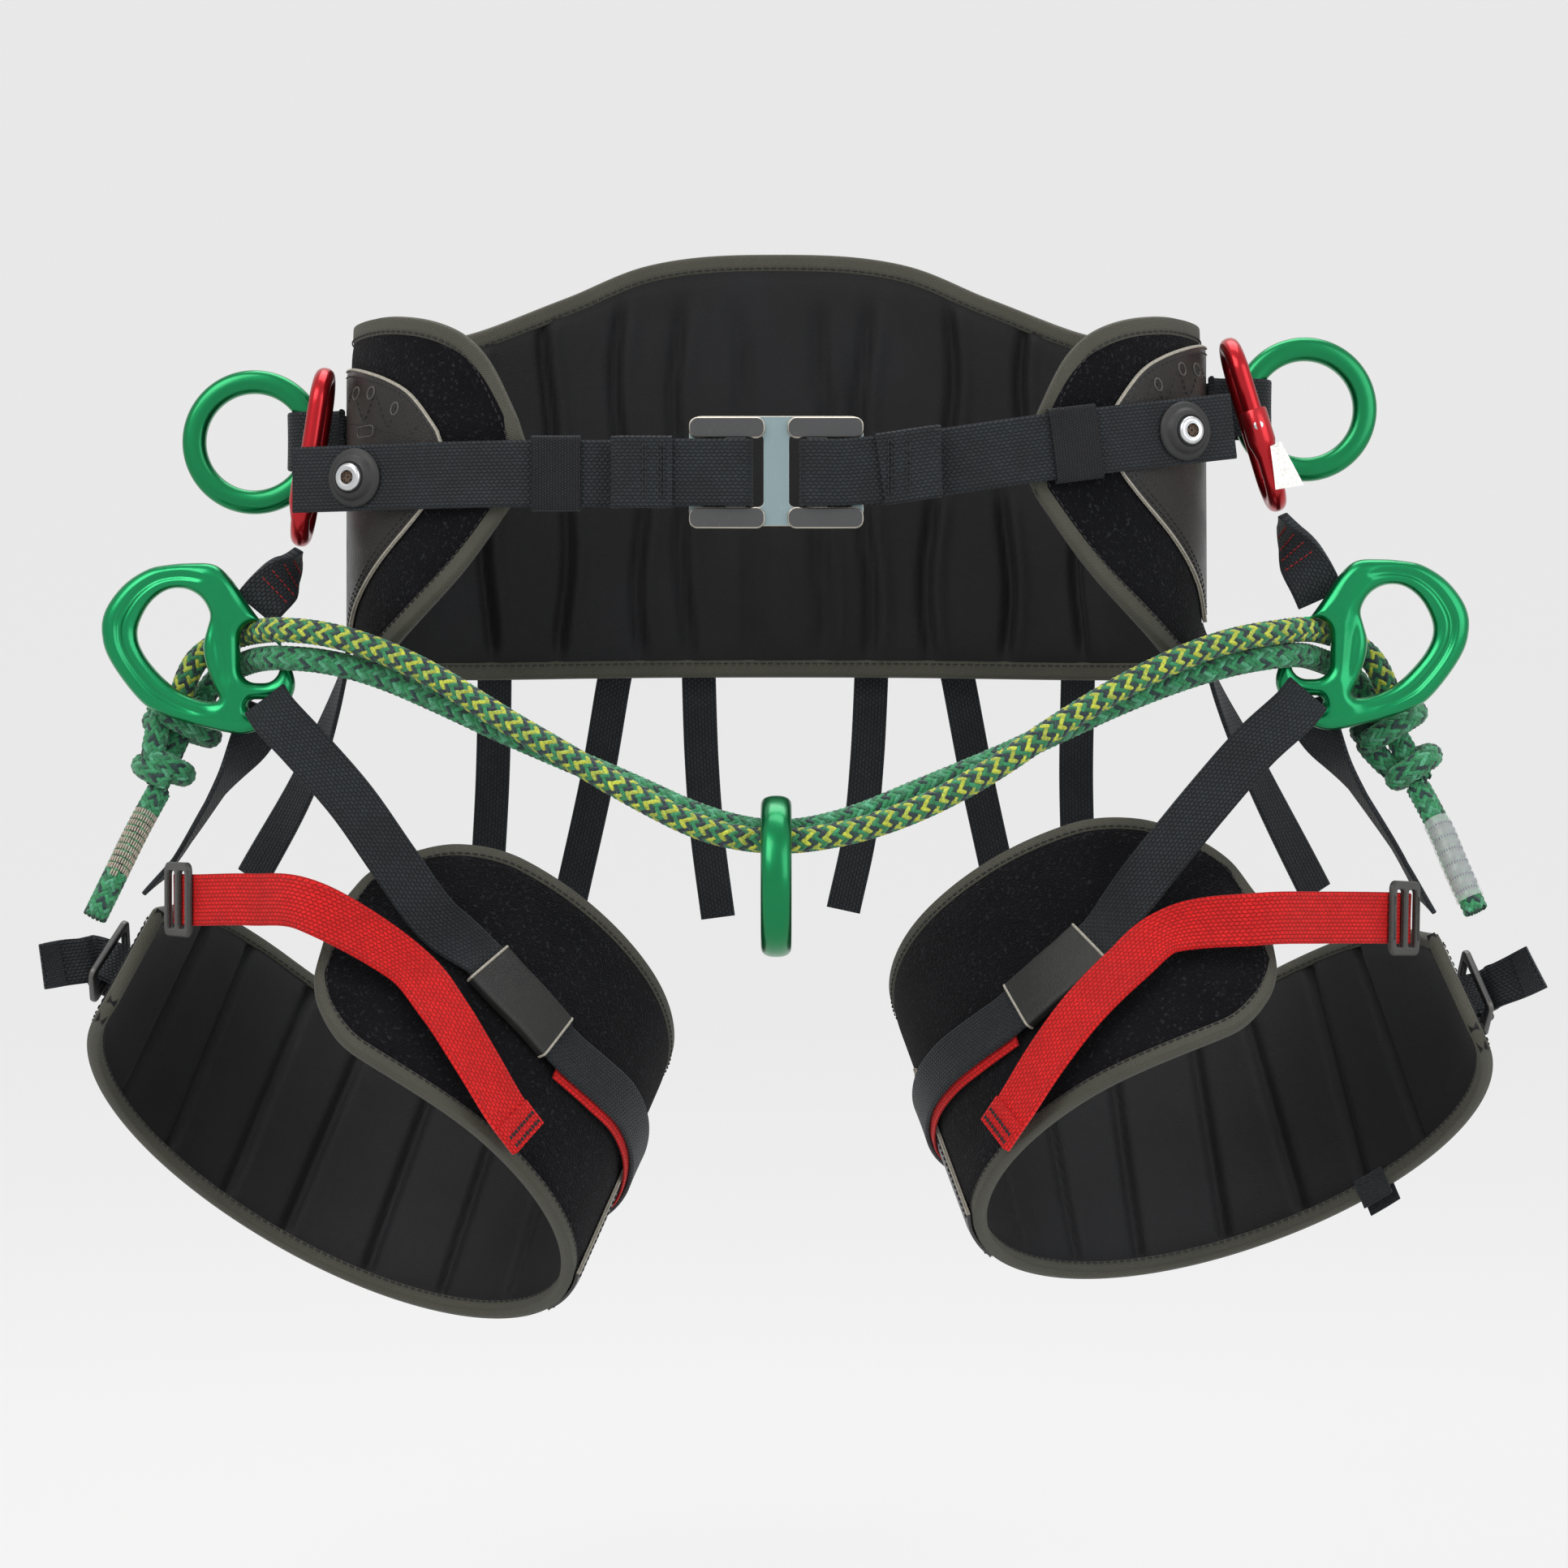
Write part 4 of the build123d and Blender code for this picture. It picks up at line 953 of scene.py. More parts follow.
def makeWaistPad():
    edge = 153.0
    angles = np.concatenate([np.linspace(-edge, -80, 90), np.linspace(-80, 80, 230)[1:-1],
                             np.linspace(80, edge, 90)])
    levels = np.concatenate([[0, 0.006, 0.018, 0.035], np.linspace(0.06, 0.94, 58), [0.965, 0.982, 0.994, 1]])
    top, bottom = tableValue(waist["top"], np.abs(angles)), tableValue(waist["bottom"], np.abs(angles))
    z = bottom[:, None] + (top - bottom)[:, None] * levels[None, :]
    flat = hoopFlat(angles)
    arc = np.concatenate([[0], np.cumsum(np.linalg.norm(np.diff(flat, axis=0), axis=1))])
    endGap = np.minimum(arc, arc[-1] - arc)[:, None]
    edgeGap = np.minimum(np.minimum(z - bottom[:, None], top[:, None] - z), endGap + 0 * z)
    crown = np.clip((edgeGap - waist["binding"]) / waist["crownReach"], 0, 1)
    crown = np.sqrt(crown * (2 - crown))
    thin, thick = waist["edgeThickness"] / 2, waist["thickness"] / 2
    half = thin + (thick - thin) * crown
    x = flat[:, 0][:, None] + 0 * z
    back = np.clip((95 - np.abs(angles)) / 20, 0, 1)[:, None]
    deep = channelField(x, z) * waist["channelDepth"] * back * np.minimum(crown * 1.5, 1)
    ripple = wrinkleField(x, z) * 0.5 * crown
    middleFolds = np.exp(-(x / 28) ** 2) * np.sin(x * 1.15 + 0.5 * np.sin(z * 0.09)) * 0.35
    middleFolds = middleFolds * np.exp(-((np.abs(z - 8) - 45) / 42) ** 2) * back
    innerOff = -(half - deep) + ripple * 0.6 + middleFolds
    outerOff = half + ripple * 0.5
    angleGrid = angles[:, None] + 0 * z
    inner, outer = hoop(angleGrid, z, innerOff), hoop(angleGrid, z, outerOff)
    verts = np.vstack([outer.reshape(-1, 3), inner.reshape(-1, 3)])
    faces, marks = slabFaces(*z.shape)
    uv = np.stack([np.broadcast_to(arc[:, None], z.shape).reshape(-1), z.reshape(-1)], axis=-1)
    pad = meshPiece("waistPad", verts, faces, None, "saddle", uv=np.vstack([uv, uv]),
                    mats=[finishes["liner"], finishes["nap"]], faceMats=marks)
    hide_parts("back_pad")
    makeWaistBinding(angles, arc)


def boundTape(name, centre, normal, inward, halfEdge, width, body, slot="webbing"):
    # tape folded over an edge; the line runs once round and closes
    stations = [(0.55, width + 0.5, -0.1), (0.75, width, 0.35), (0.8, width * 0.55, 0.5),
                (0.8, width * 0.16, 0.45),
                (0.55, -0.6, 0.4), (0.0, -1.5, 0.0), (-0.55, -0.6, -0.4), (-0.8, width * 0.16, -0.45),
                (-0.8, width * 0.55, -0.5), (-0.75, width, -0.35), (-0.55, width + 0.5, 0.1)]
    rows = []
    half = np.broadcast_to(np.asarray(halfEdge, float), len(centre))
    for share, reach, rise in stations:
        rows.append(centre + inward * reach + normal
                    * (np.sign(share) * half * min(1, abs(share) / 0.55) + rise * 2)[:, None])
    grid = np.stack(rows, axis=1)
    far = np.concatenate([[0], np.cumsum(np.linalg.norm(np.roll(centre, -1, axis=0) - centre, axis=1))])[:-1]
    u = np.concatenate([[0], np.cumsum([abs(b[1] - a[1]) + abs(b[0] - a[0]) * 3 for a,
                                        b in zip(stations, stations[1:])])])
    faces = gridFaces(len(centre), len(stations), closeRows=True).tolist()
    uv = np.stack(np.broadcast_arrays(u[None, :], far[:, None]), axis=-1).reshape(-1, 2)
    tape = meshPiece(name, grid.reshape(-1, 3), faces, finishes["binding"], body, uv=uv)
    rowsOut = []
    for share in (1, -1):
        path = centre + inward * (width * 0.82) + normal * (share * (half + 1.35))[:, None]
        rowsOut.append((path, normal * share))
    joinStitches(name + ".stitches", rowsOut, body, "thread", slot, each=2.7, gap=1.3, radius=0.36, lift=0.0)
    return tape


def outlineLoop(lowLine, highLine, count):
    # bottom there, top back, with an even step and rounded corners
    loop = np.vstack([lowLine, highLine[::-1]])
    closed = np.vstack([loop, loop[:1]])
    far = lengths(closed)
    at = np.linspace(0, far[-1], count, endpoint=False)
    even = np.stack([np.interp(at, far, closed[:, k]) for k in range(closed.shape[1])], axis=1)
    for _ in range(4):
        even = even * 0.5 + (np.roll(even, 1, axis=0) + np.roll(even, -1, axis=0)) * 0.25
    return even


def makeWaistBinding(angles, arc):
    low = np.stack([arc, tableValue(waist["bottom"], np.abs(angles))], axis=1)
    high = np.stack([arc, tableValue(waist["top"], np.abs(angles))], axis=1)
    loop = outlineLoop(low, high, 900)
    tangent = unit(np.roll(loop, -1, axis=0) - np.roll(loop, 1, axis=0))
    insideWay = np.stack([-tangent[:, 1], tangent[:, 0]], axis=1)
    angle = np.interp(loop[:, 0], arc, angles)
    normal = hoopOut(angle)
    centre = hoop(angle, loop[:, 1])
    forward = unit(hoop(angle + 0.3, 0 * angle) - hoop(angle - 0.3, 0 * angle))
    inward = unit(forward * insideWay[:, 0][:, None] + np.array([0, 0, 1.0]) * insideWay[:, 1][:, None])
    boundTape("waistBinding", centre + inward * 0.8, normal, inward, waist["edgeThickness"] / 2 + 0.2,
              waist["binding"],
              "saddle")


makeWaistPad()
print("waist pad made")

# hip band and the leather panels of the wings
wings = {
    "bandWidth": 44.0, "bandHeight": -22.0, "webbing": 2.4, "leather": 2.2, "gap": 0.4,
    "top": [(97, 47), (105, 46.5), (115, 43), (124, 37), (130, 29), (136, 12), (137.5, 4)],
    "bottom": [(97, -92), (106, -75), (118, -54), (128, -36), (134, -22), (136, -14), (137.5, -6)],
    "rise": {"left": 0.0, "right": 12.0},
    "holes": [(-206, 34), (-198, 33), (-186, 24)],
    "slot": (-201, 14),
}


def makeLeather(side):
    sign = sides[side]
    turn = -sign
    rise = wings["rise"][side]
    inner = waist["thickness"] / 2 + wings["gap"]
    angles = np.linspace(97, 137.5, 60)
    levels = np.concatenate([[0, 0.01, 0.03], np.linspace(0.06, 0.94, 30), [0.97, 0.99, 1]])
    top, bottom = tableValue(wings["top"], angles) + rise, tableValue(wings["bottom"], angles) + rise
    z = bottom[:, None] + (top - bottom)[:, None] * levels[None, :]
    a = turn * angles[:, None] + 0 * z
    gap = np.minimum(z - bottom[:, None], top[:, None] - z)
    gap = np.minimum(gap, (137.5 - angles)[:, None] * 3.0 + 0 * z)
    swell = np.clip(gap / 3.0, 0, 1)
    buckle = 0.35 * wrinkleField(a * 3, z, 9)
    outer = hoop(a, z, inner + wings["leather"] * (0.7 + 0.3 * swell) + buckle * swell)
    under = hoop(a, z, inner + 0 * z)
    faces = slabFaces(*z.shape)[0]
    panel = meshPiece(f"wingLeather.{side}", np.vstack([outer.reshape(-1, 3), under.reshape(-1, 3)]), faces,
                      finishes["leather"], "saddle", sharp=60)
    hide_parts(f"leather_panel_{side}")
    lift = inner + wings["leather"]
    # pale cut edges, two layers, along the top and the slanting bottom
    parts = []
    for low, high in ((0.25, 0.2), (1.35, 0.55)):
        for table, way in ((wings["top"], 1), (wings["bottom"], -1)):
            edge = tableValue(table, angles) + rise + way * high * 0.6
            parts.append(tube(hoop(turn * angles, edge, lift - low), 0.62, 8))
    joinedPiece(f"wingEdge.{side}", parts, "creamEdge", "saddle")
    rowsOf = []
    for inset in (3.4, 7.0):
        edge = tableValue(wings["bottom"], angles) + rise + inset
        rowsOf.append((hoop(turn * angles, edge, lift), hoopOut(turn * angles)))
    edge = tableValue(wings["top"], angles) + rise - 3.2
    rowsOf.append((hoop(turn * angles, edge, lift), hoopOut(turn * angles)))
    # wavy seam round the row of eyelets
    x = np.linspace(175, 211, 60)
    wave = 30 + rise - (211 - x) * 0.38 + 6.5 * np.sin((211 - x) * 0.52)
    a = np.array([wingAngle(side, v) for v in x])
    rowsOf.append((hoop(a, wave, lift), hoopOut(a)))
    straight = 20 + rise - (211 - x) * 0.35
    rowsOf.append((hoop(a, straight, lift), hoopOut(a)))
    joinStitches(f"wingSeams.{side}", rowsOf, "saddle", "thread", "leather", each=2.4, gap=1.2, radius=0.3,
                 lift=0.05)
    makeEyelets(side, lift, rise)


def ovalRing(side, x, z, wide, tall, thick, lift, lean=0.0, square=1.0):
    t = np.linspace(0, 2 * pi, 28, endpoint=False)
    dx = wide * power(np.cos(t), square)
    dz = tall * power(np.sin(t), square)
    px, pz = x + dx * cos(lean) - dz * sin(lean), z + dx * sin(lean) + dz * cos(lean)
    a = np.array([wingAngle(side, v) for v in px])
    line = hoop(a, pz, lift)
    closed = np.vstack([line, line[:1]])
    # the hole is a flat black disc just above the leather: painted shade standing in for the dark inside of
    # the hole
    middle = hoop(wingAngle(side, x), z, lift - 0.25)
    dark = np.vstack([middle[None, :], hoop(a, pz, lift + 0.06)])
    holeShadeFaces = [[0, 1 + k, 1 + (k + 1) % 28] for k in range(28)]
    return tube(closed, thick, 8, hoopOut(a[:1])[0], caps=False), (dark, holeShadeFaces, None)


def makeEyelets(side, lift, rise):
    rims, holeShades = [], []
    for x, z in wings["holes"]:
        rim, dark = ovalRing(side, abs(x), z + rise, 1.7, 3.1, 0.5, lift, 0.25)
        rims.append(rim)
        holeShades.append(dark)
    x, z = wings["slot"]
    rim, dark = ovalRing(side, abs(x), z + rise, 4.2, 2.7, 0.4, lift, 0.0, 0.4)
    rims.append(rim)
    holeShades.append(dark)
    joinedPiece(f"eyeletRims.{side}", rims, "eyelet", "saddle")
    # black discs in the eyelets and the slot: painted shade in the holes
    joinedPiece(f"eyeletHoleShade.{side}", holeShades, "thread", "saddle")


def makeHipBand():
    inner = waist["thickness"] / 2 + wings["gap"]
    angles = np.linspace(-90, 90, 180)
    points = hoop(angles, wings["bandHeight"] + 0 * angles, inner + wings["webbing"] / 2)
    _, (line, way, _) = strap("hipBand", points, [(0, 0, 1)] * len(points), wings["bandWidth"],
                              wings["webbing"],
                                   nodes=["hip_band"], step=5)
    rowsOf = []
    for edge in (-1, 1):
        rowsOf.append((line + way * edge * 19.5 + hoopOut(np.linspace(-90, 90, len(line))) * 1.2,
                       hoopOut(np.linspace(-90, 90, len(line)))))
    joinStitches("hipBandSeams", rowsOf, "saddle", "greyThread", "webbing", each=3.0, gap=1.2, radius=0.3,
                 lift=0.0)


for side in sides:
    makeLeather(side)
makeHipBand()
print("wings made")

# front belt, keepers and buckle
belt = {
    "width": 33.0, "thick": 2.4, "front": -116.0, "level": -10.5, "rise": {"left": 0.0, "right": 0.145},
    "overWing": [(178.0, -96.9), (168.0, -102.2), (159.0, -105.8), (150.0, -109.0), (136.0, -113.0),
                 (122.0, -115.6)],
    "end": {"left": (243.0, -65.5), "right": (229.0, -70.0)},
    "buckleHalf": 43.0, "bar": 20.0, "wrap": 5.3, "tailEnd": 78.0,
    "keeperAt": (96.5, 104.5, 112.5, 120.5),
    "screw": {"left": 210.0, "right": 203.0},
}


def beltPoint(side, x, y):
    z = belt["level"] + belt["rise"][side] * max(x - belt["buckleHalf"], 0)
    return np.array([sides[side] * x, y, z])


def beltLine(side, x):
    startX, startY = belt["overWing"][0]
    endX, endY = belt["end"][side]
    return beltPoint(side, x, startY + (x - startX) / (endX - startX) * (endY - startY))


def screwSpot(side):
    x = belt["screw"][side]
    run = unit(beltLine(side, x + 1) - beltLine(side, x - 1))
    out = unit(np.cross(run, (0, 0, 1)))
    return beltLine(side, x), out if out[1] < 0 else -out


def makeBelt(side):
    front = belt["front"] - 2 * belt["wrap"]
    turn = belt["bar"] - 5 + belt["wrap"] / 2
    route = [beltLine(side, belt["end"][side][0]), beltLine(side, 200)]
    route += [beltPoint(side, x, y) for x, y in belt["overWing"]]
    route += [beltPoint(side, x, belt["front"]) for x in (104, 92, 70, 50, 32, 22)]
    for angle in range(90, -91, -20):
        route.append(beltPoint(side, turn - belt["wrap"] * cos(radians(angle)),
                               (belt["front"] + front) / 2 + belt["wrap"] * sin(radians(angle))))
    route += [beltPoint(side, belt["bar"] + 3, front), beltPoint(side, belt["bar"] + 12, front + 1.2),
              beltPoint(side, 62, front + 1.4), beltPoint(side, belt["tailEnd"], front + 0.6)]
    nodes = [f"belt_strap_{side}", f"belt_anchor_{side}"]
    body = None if side == "right" else "saddle"
    verts, faces, uv, _ = ribbonMesh(route, [(0, 0, 1)] * len(route), belt["width"], belt["thick"], 2.0)
    band = meshPiece(f"frontBelt.{side}", verts, faces, finishes["webbing"], body, uv=uv, sharp=50)
    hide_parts(*nodes)
    if side == "right":
        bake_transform(band)
    # folded hem of the tail, with its bar of stitches, and a second layer under it
    tailBody = "belt_right" if side == "right" else "saddle"
    far = belt["tailEnd"]
    hem = [beltPoint(side, far - 1.0, front + 2.2), beltPoint(side, far + 2.4, front + 0.2),
           beltPoint(side, far - 1.5, front - 1.9), beltPoint(side, far - 16, front - 1.3),
           beltPoint(side, far - 27, front - 0.8)]
    strap(f"beltTail.{side}", hem, [(0, 0, 1)] * 5, belt["width"] + 2.4, 2.2, "webbing", tailBody, step=1.5)
    rowsOf = []
    for dx in (12.5, 14.0, 21.5, 23.0):
        top = beltPoint(side, far - dx, front - 2.6)
        rowsOf.append((np.array([top + (0, 0, 14), top - (0, 0, 14)]), np.array([0, -1.0, 0])))
    joinStitches(f"beltTailSeam.{side}", rowsOf, tailBody, "thread", "webbing", each=2.2, gap=0.5,
                 radius=0.4, lift=0.0)


def sleeveMesh(name, line, up, half, deep, wall, finish, body, edgeFinish=None):
    run = unit(np.gradient(line, axis=0))
    out = unit(np.cross(run, up))
    up = np.cross(out, run)
    ringA = np.linspace(0, 2 * pi, 44, endpoint=False)
    grids, first = [], None
    for grow in (wall, 0.0):
        ring = np.array([((half + grow) * power(cos(a), 0.16), (deep + grow) * power(sin(a), 0.5))
                         for a in ringA])
        first = ring if first is None else first
        grids.append(line[:, None, :] + up[:, None, :] * ring[None, :, 0, None] + out[:, None, :]
                     * ring[None, :, 1, None])
    rows, columns = len(line), 44
    size = rows * columns
    faces = gridFaces(rows, columns, closeColumns=True).tolist()
    faces += gridFaces(rows, columns, closeColumns=True, start=size)[:, ::-1].tolist()
    marks = [0] * len(faces)
    for row in (0, rows - 1):
        base = row * columns
        faces += [[base + k, base + (k + 1) % columns, size + base + (k + 1) % columns, size + base + k]
                  for k in range(columns)]
        marks += [1] * columns
    far = lengths(line)
    u = np.cumsum(np.concatenate([[0], np.linalg.norm(np.diff(first, axis=0), axis=1)]))
    uv = np.stack(np.broadcast_arrays(far[:, None] + 30, u[None, :]), axis=-1).reshape(-1, 2)
    mats = [finishes[finish], finishes[edgeFinish or finish]]
    sleeve = meshPiece(name, np.vstack([g.reshape(-1, 3) for g in grids]), faces, None, body,
                       uv=np.vstack([uv, uv]),
                       sharp=45, mats=mats, faceMats=marks)
    return sleeve


def makeKeeper(side):
    if side == "left":
        points = [beltPoint(side, x, belt["front"]) for x in belt["keeperAt"]]
    else:
        points = [beltPoint(side, x, y) for x, y in belt["overWing"][2:5]]
    body = {"left": "belt_keeper_left", "right": "belt_right"}[side]
    line = fineLine(points, 2.0)
    keeper = sleeveMesh(f"beltKeeper.{side}", line, np.broadcast_to((0, 0, 1), line.shape),
                        belt["width"] / 2 + 0.5,
                        belt["thick"] / 2 + 0.5, 1.6, "keeperWebbing", body)
    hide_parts(f"belt_keeper_{side}")


def plateMesh(name, outline, holes, thick, bevel, finish, body, origin, edgeFinish=None,
              axes=((1, 0, 0), (0, -1, 0))):
    # flat metal cut from a sheet with rounded edges; the axes are its long way and its facing
    curve = bpy.data.curves.new(name, "CURVE")
    curve.dimensions = "2D"
    curve.fill_mode = "BOTH"
    curve.extrude = (thick / 2 - bevel) * mm
    curve.bevel_depth = bevel * mm
    curve.bevel_resolution = 3
    for ring in [outline] + holes:
        spline = curve.splines.new("POLY")
        spline.points.add(len(ring) - 1)
        for point, (x, z) in zip(spline.points, ring):
            point.co = (x * mm, z * mm, 0, 1)
        spline.use_cyclic_u = True
    curve.offset = -bevel * mm
    holder = bpy.data.objects.new(name, curve)
    bpy.context.scene.collection.objects.link(holder)
    mesh = bpy.data.meshes.new_from_object(holder.evaluated_get(bpy.context.evaluated_depsgraph_get()))
    bpy.data.objects.remove(holder)
    mesh.name = name
    run, out = unit(np.array(axes[0], float)), unit(np.array(axes[1], float))
    basis = Matrix(np.stack([run, np.cross(out, run), out], axis=1).tolist()).to_4x4()
    mesh.transform(Matrix.Translation(Vector(origin) * mm) @ basis)
    obj = bpy.data.objects.new(name, mesh)
    bpy.context.scene.collection.objects.link(obj)
    mesh.materials.clear()
    mesh.materials.append(finishes[finish])
    if edgeFinish:
        mesh.materials.append(finishes[edgeFinish])
        for face in mesh.polygons:
            if abs(face.normal.dot(Vector(out))) < 0.9:
                face.material_index = 1
    mesh.polygons.foreach_set("use_smooth", [True] * len(mesh.polygons))
    mesh.set_sharp_from_angle(angle=radians(40))
    if body:
        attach(obj, body)
    return obj


def roundedBox(wide, tall, corner, x=0.0, z=0.0, steps=7):
    ring = []
    for cx, cz, first in ((1, 1, 0), (-1, 1, 90), (-1, -1, 180), (1, -1, 270)):
        for k in range(steps):
            a = radians(first + 90 * k / (steps - 1))
            ring.append((x + cx * (wide / 2 - corner) + corner * cos(a),
                         z + cz * (tall / 2 - corner) + corner * sin(a)))
    return ring


buckle = {
    "wide": 86.0, "tall": 54.0, "corner": 6.0, "plateThick": 3.0, "plateY": -119.0, "level": -9.5,
    "bar": 13.0, "window": 35.5, "frameThick": 4.0, "frameY": -119.3, "frameLong": 37.5, "lobe": 9.75,
}


def makeBuckle():
    b = buckle
    bar = b["bar"] / 2
    wide = b["wide"] / 2 - 5.5 - bar
    windows = []
    for sign in (-1, 1):
        windows.append(roundedBox(wide, b["window"], 2.6, sign * (bar + wide / 2), 0)[::-1])
    plate = plateMesh("bucklePlate", roundedBox(b["wide"], b["tall"], b["corner"]), windows,
                      b["plateThick"], 0.5,
                      "plateSteel", "saddle", (0, b["plateY"] + b["plateThick"] / 2,
                                               b["level"]), "paleEdge")
    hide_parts("buckle_plate")
    for side, sign in sides.items():
        body = "belt_right" if side == "right" else "saddle"
        middle = sign * (b["wide"] - b["frameLong"]) / 2
        y = b["frameY"] - b["frameThick"] / 2
        for end in (-1, 1):
            z = belt["level"] + end * (b["tall"] - b["lobe"]) / 2
            lobe = plateMesh(f"buckleLobe.{side}.{'top' if end > 0 else 'low'}",
                             roundedBox(b["frameLong"], b["lobe"] + 0.6,
                                        4.2), [], b["frameThick"], 0.9, "frameSteel", body,
                             (middle, y, z), "paleEdge")
        plateMesh(f"buckleBar.{side}", roundedBox(10.0, b["tall"] - b["lobe"], 0.5), [],
                  b["frameThick"] - 0.6, 0.4,
                        "frameSteel", body, (sign * belt["bar"], y, belt["level"]))
        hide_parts(f"buckle_frame_{side}")


def lathe(profile, centre, axis, steps=40, first=None):
    # a lathe: profile rows are (radius, height along the axis)
    axis = unit(axis)
    side = unit(np.cross(axis, first if first is not None else (0.3, 0.2, 1.0)))
    other = np.cross(axis, side)
    a = np.linspace(0, 2 * pi, steps, endpoint=False)
    rows = [np.asarray(centre) + axis * h + (side[None, :] * np.cos(a)[:, None] + other[None, :]
                                             * np.sin(a)[:, None]) * r
            for r, h in profile]
    verts = np.vstack(rows)
    return verts, gridFaces(len(profile), steps, closeColumns=True).tolist(), None


def makeScrews():
    washerParts, headParts, starParts = [], [], []
    for side in sides:
        middle, out = screwSpot(side)
        base = middle + out * belt["thick"] / 2
        washerParts.append(lathe([(0.1, 0.1), (14.6, 0.1), (14.9, 0.9), (14.5, 1.8), (13.2, 2.5),
                                  (11.8, 2.8), (11.4, 3.3),
                                   (10.6, 4.6), (9.4, 5.6), (8.2, 6.0), (7.7,
                                                                         5.4), (7.2,
                                                                                5.2), (0.1,
                                                                                       5.2)], base, out, 56))
        headParts.append(lathe([(7.0, 5.2), (7.1, 6.6), (6.8, 7.5), (6.2, 8.1), (5.2, 8.35), (4.4, 8.2),
                                (3.5, 8.15)],
                                base, out, 48))
        a = np.linspace(0, 2 * pi, 48, endpoint=False)
        radius = 2.6 + 0.75 * np.cos(6 * a)
        s1 = unit(np.cross(out, (0, 0, 1)))
        s2 = np.cross(out, s1)
        rows = []
        for size, height in ((1.25, 8.18), (1.0, 8.1), (0.95, 7.2), (0.2, 7.0)):
            rows.append(base + out * height + (s1 * np.cos(a)[:, None] + s2 * np.sin(a)[:, None])
                        * (radius * size)[:, None])
        starParts.append((np.vstack(rows), gridFaces(4, 48, closeColumns=True).tolist(), None))
    washers = joinedPiece("beltWashers", washerParts, "rubber", "saddle", 55)
    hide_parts("belt_washers")
    heads = joinedPiece("beltScrews", headParts, "screwSteel", "saddle", 50)
    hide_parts("belt_screws")
    # the star sockets in the screw heads, coloured dark brown
    joinedPiece("screwStars", starParts, "darkStarSocket", "saddle", 50)


for side in sides:
    makeBelt(side)
    makeKeeper(side)
makeBuckle()
makeScrews()
print("belt made")

# side rings, gated rings, forged rings
rings = {
    "sideCentre": {"left": (-271.0, 8.0, 14.0), "right": (274.0, 8.0, 31.0)},
    "sideRadius": 31.2, "sideHalf": 6.2,
    "loopHeight": 30.0,
    "gatedEnds": {"left": (-229.0, 49.0, -243.0, -43.0), "right": (229.0, 64.0, 256.0, -25.0)},
    "gatedDepth": -38.0, "gatedSize": (42.0, 92.0), "gatedTube": 4.8, "boss": {"left": -16.0, "right": -2.0},
    "forgedCentre": {"left": (-304.0, -60.0, -93.0), "right": (313.0, -60.0, -91.0)},
    "forgedOutline": [(-4, 40), (9, 41), (21, 40), (29, 33), (37, 21), (44, 11.5), (53, 0), (60, -14),
                      (61, -22), (57, -31),
                      (48, -40.5), (37, -45), (27, -44.5), (18, -42.5), (3,
                                                                         -38.5), (-6, -35), (-14,
                                                                                             -31), (-27, -16),
                      (-34, -4), (-36, 4), (-36, 12), (-33, 20), (-24, 31), (-12, 38.3)],
    "forgedHole": [(-18, 9), (-12, 21), (-3, 27.6), (6, 28), (14, 23.5), (18.4, 15), (17, 8), (15, 0),
                   (16, -9), (20, -20),
                   (23, -28), (17, -28.8), (9, -26.6), (1, -22.4), (-8.5, -13.5), (-15, -5), (-18, 2)],
    "ropeHole": (43.5, -4.0, 20.0, 31.0, 8.0),
    "legSlot": (46.0, -31.2, 17.0, 7.0, 3.2),
    "centreRing": {"middle": (0.0, -133.0, -208.5), "inner": 29.0, "radial": 10.5, "wide": 15.0},
}


def sweptRing(centreLine, section, normals):
    # a closed loop with a fixed cross-section: (outward, sideways) rows
    run = unit(np.roll(centreLine, -1, axis=0) - np.roll(centreLine, 1, axis=0))
    side = np.cross(run, normals)
    section = np.array(section)
    grid = (centreLine[:, None, :] + normals[:, None, :] * section[None, :, 0, None]
            + side[:, None, :] * section[None, :, 1, None])
    return grid.reshape(-1, 3), gridFaces(len(centreLine), len(section), closeRows=True,
                                          closeColumns=True).tolist(), None


def roundSection(wide, deep, squareness, steps=24):
    a = np.linspace(0, 2 * pi, steps, endpoint=False)
    return [(wide * power(cos(t), squareness), deep * power(sin(t), squareness)) for t in a]


def makeSideRing(side):
    x, y, z = rings["sideCentre"][side]
    a = np.linspace(0, 2 * pi, 160, endpoint=False)
    radial = np.stack([np.cos(a), 0 * a, np.sin(a)], axis=1)
    line = np.array([x, y, z]) + radial * rings["sideRadius"]
    verts, faces, _ = sweptRing(line, roundSection(rings["sideHalf"], rings["sideHalf"] - 0.6, 0.72), radial)
    ring = meshPiece(f"sideRing.{side}", verts, faces, finishes["greenMetal"], f"side_ring_{side}")
    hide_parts(f"side_ring_{side}")


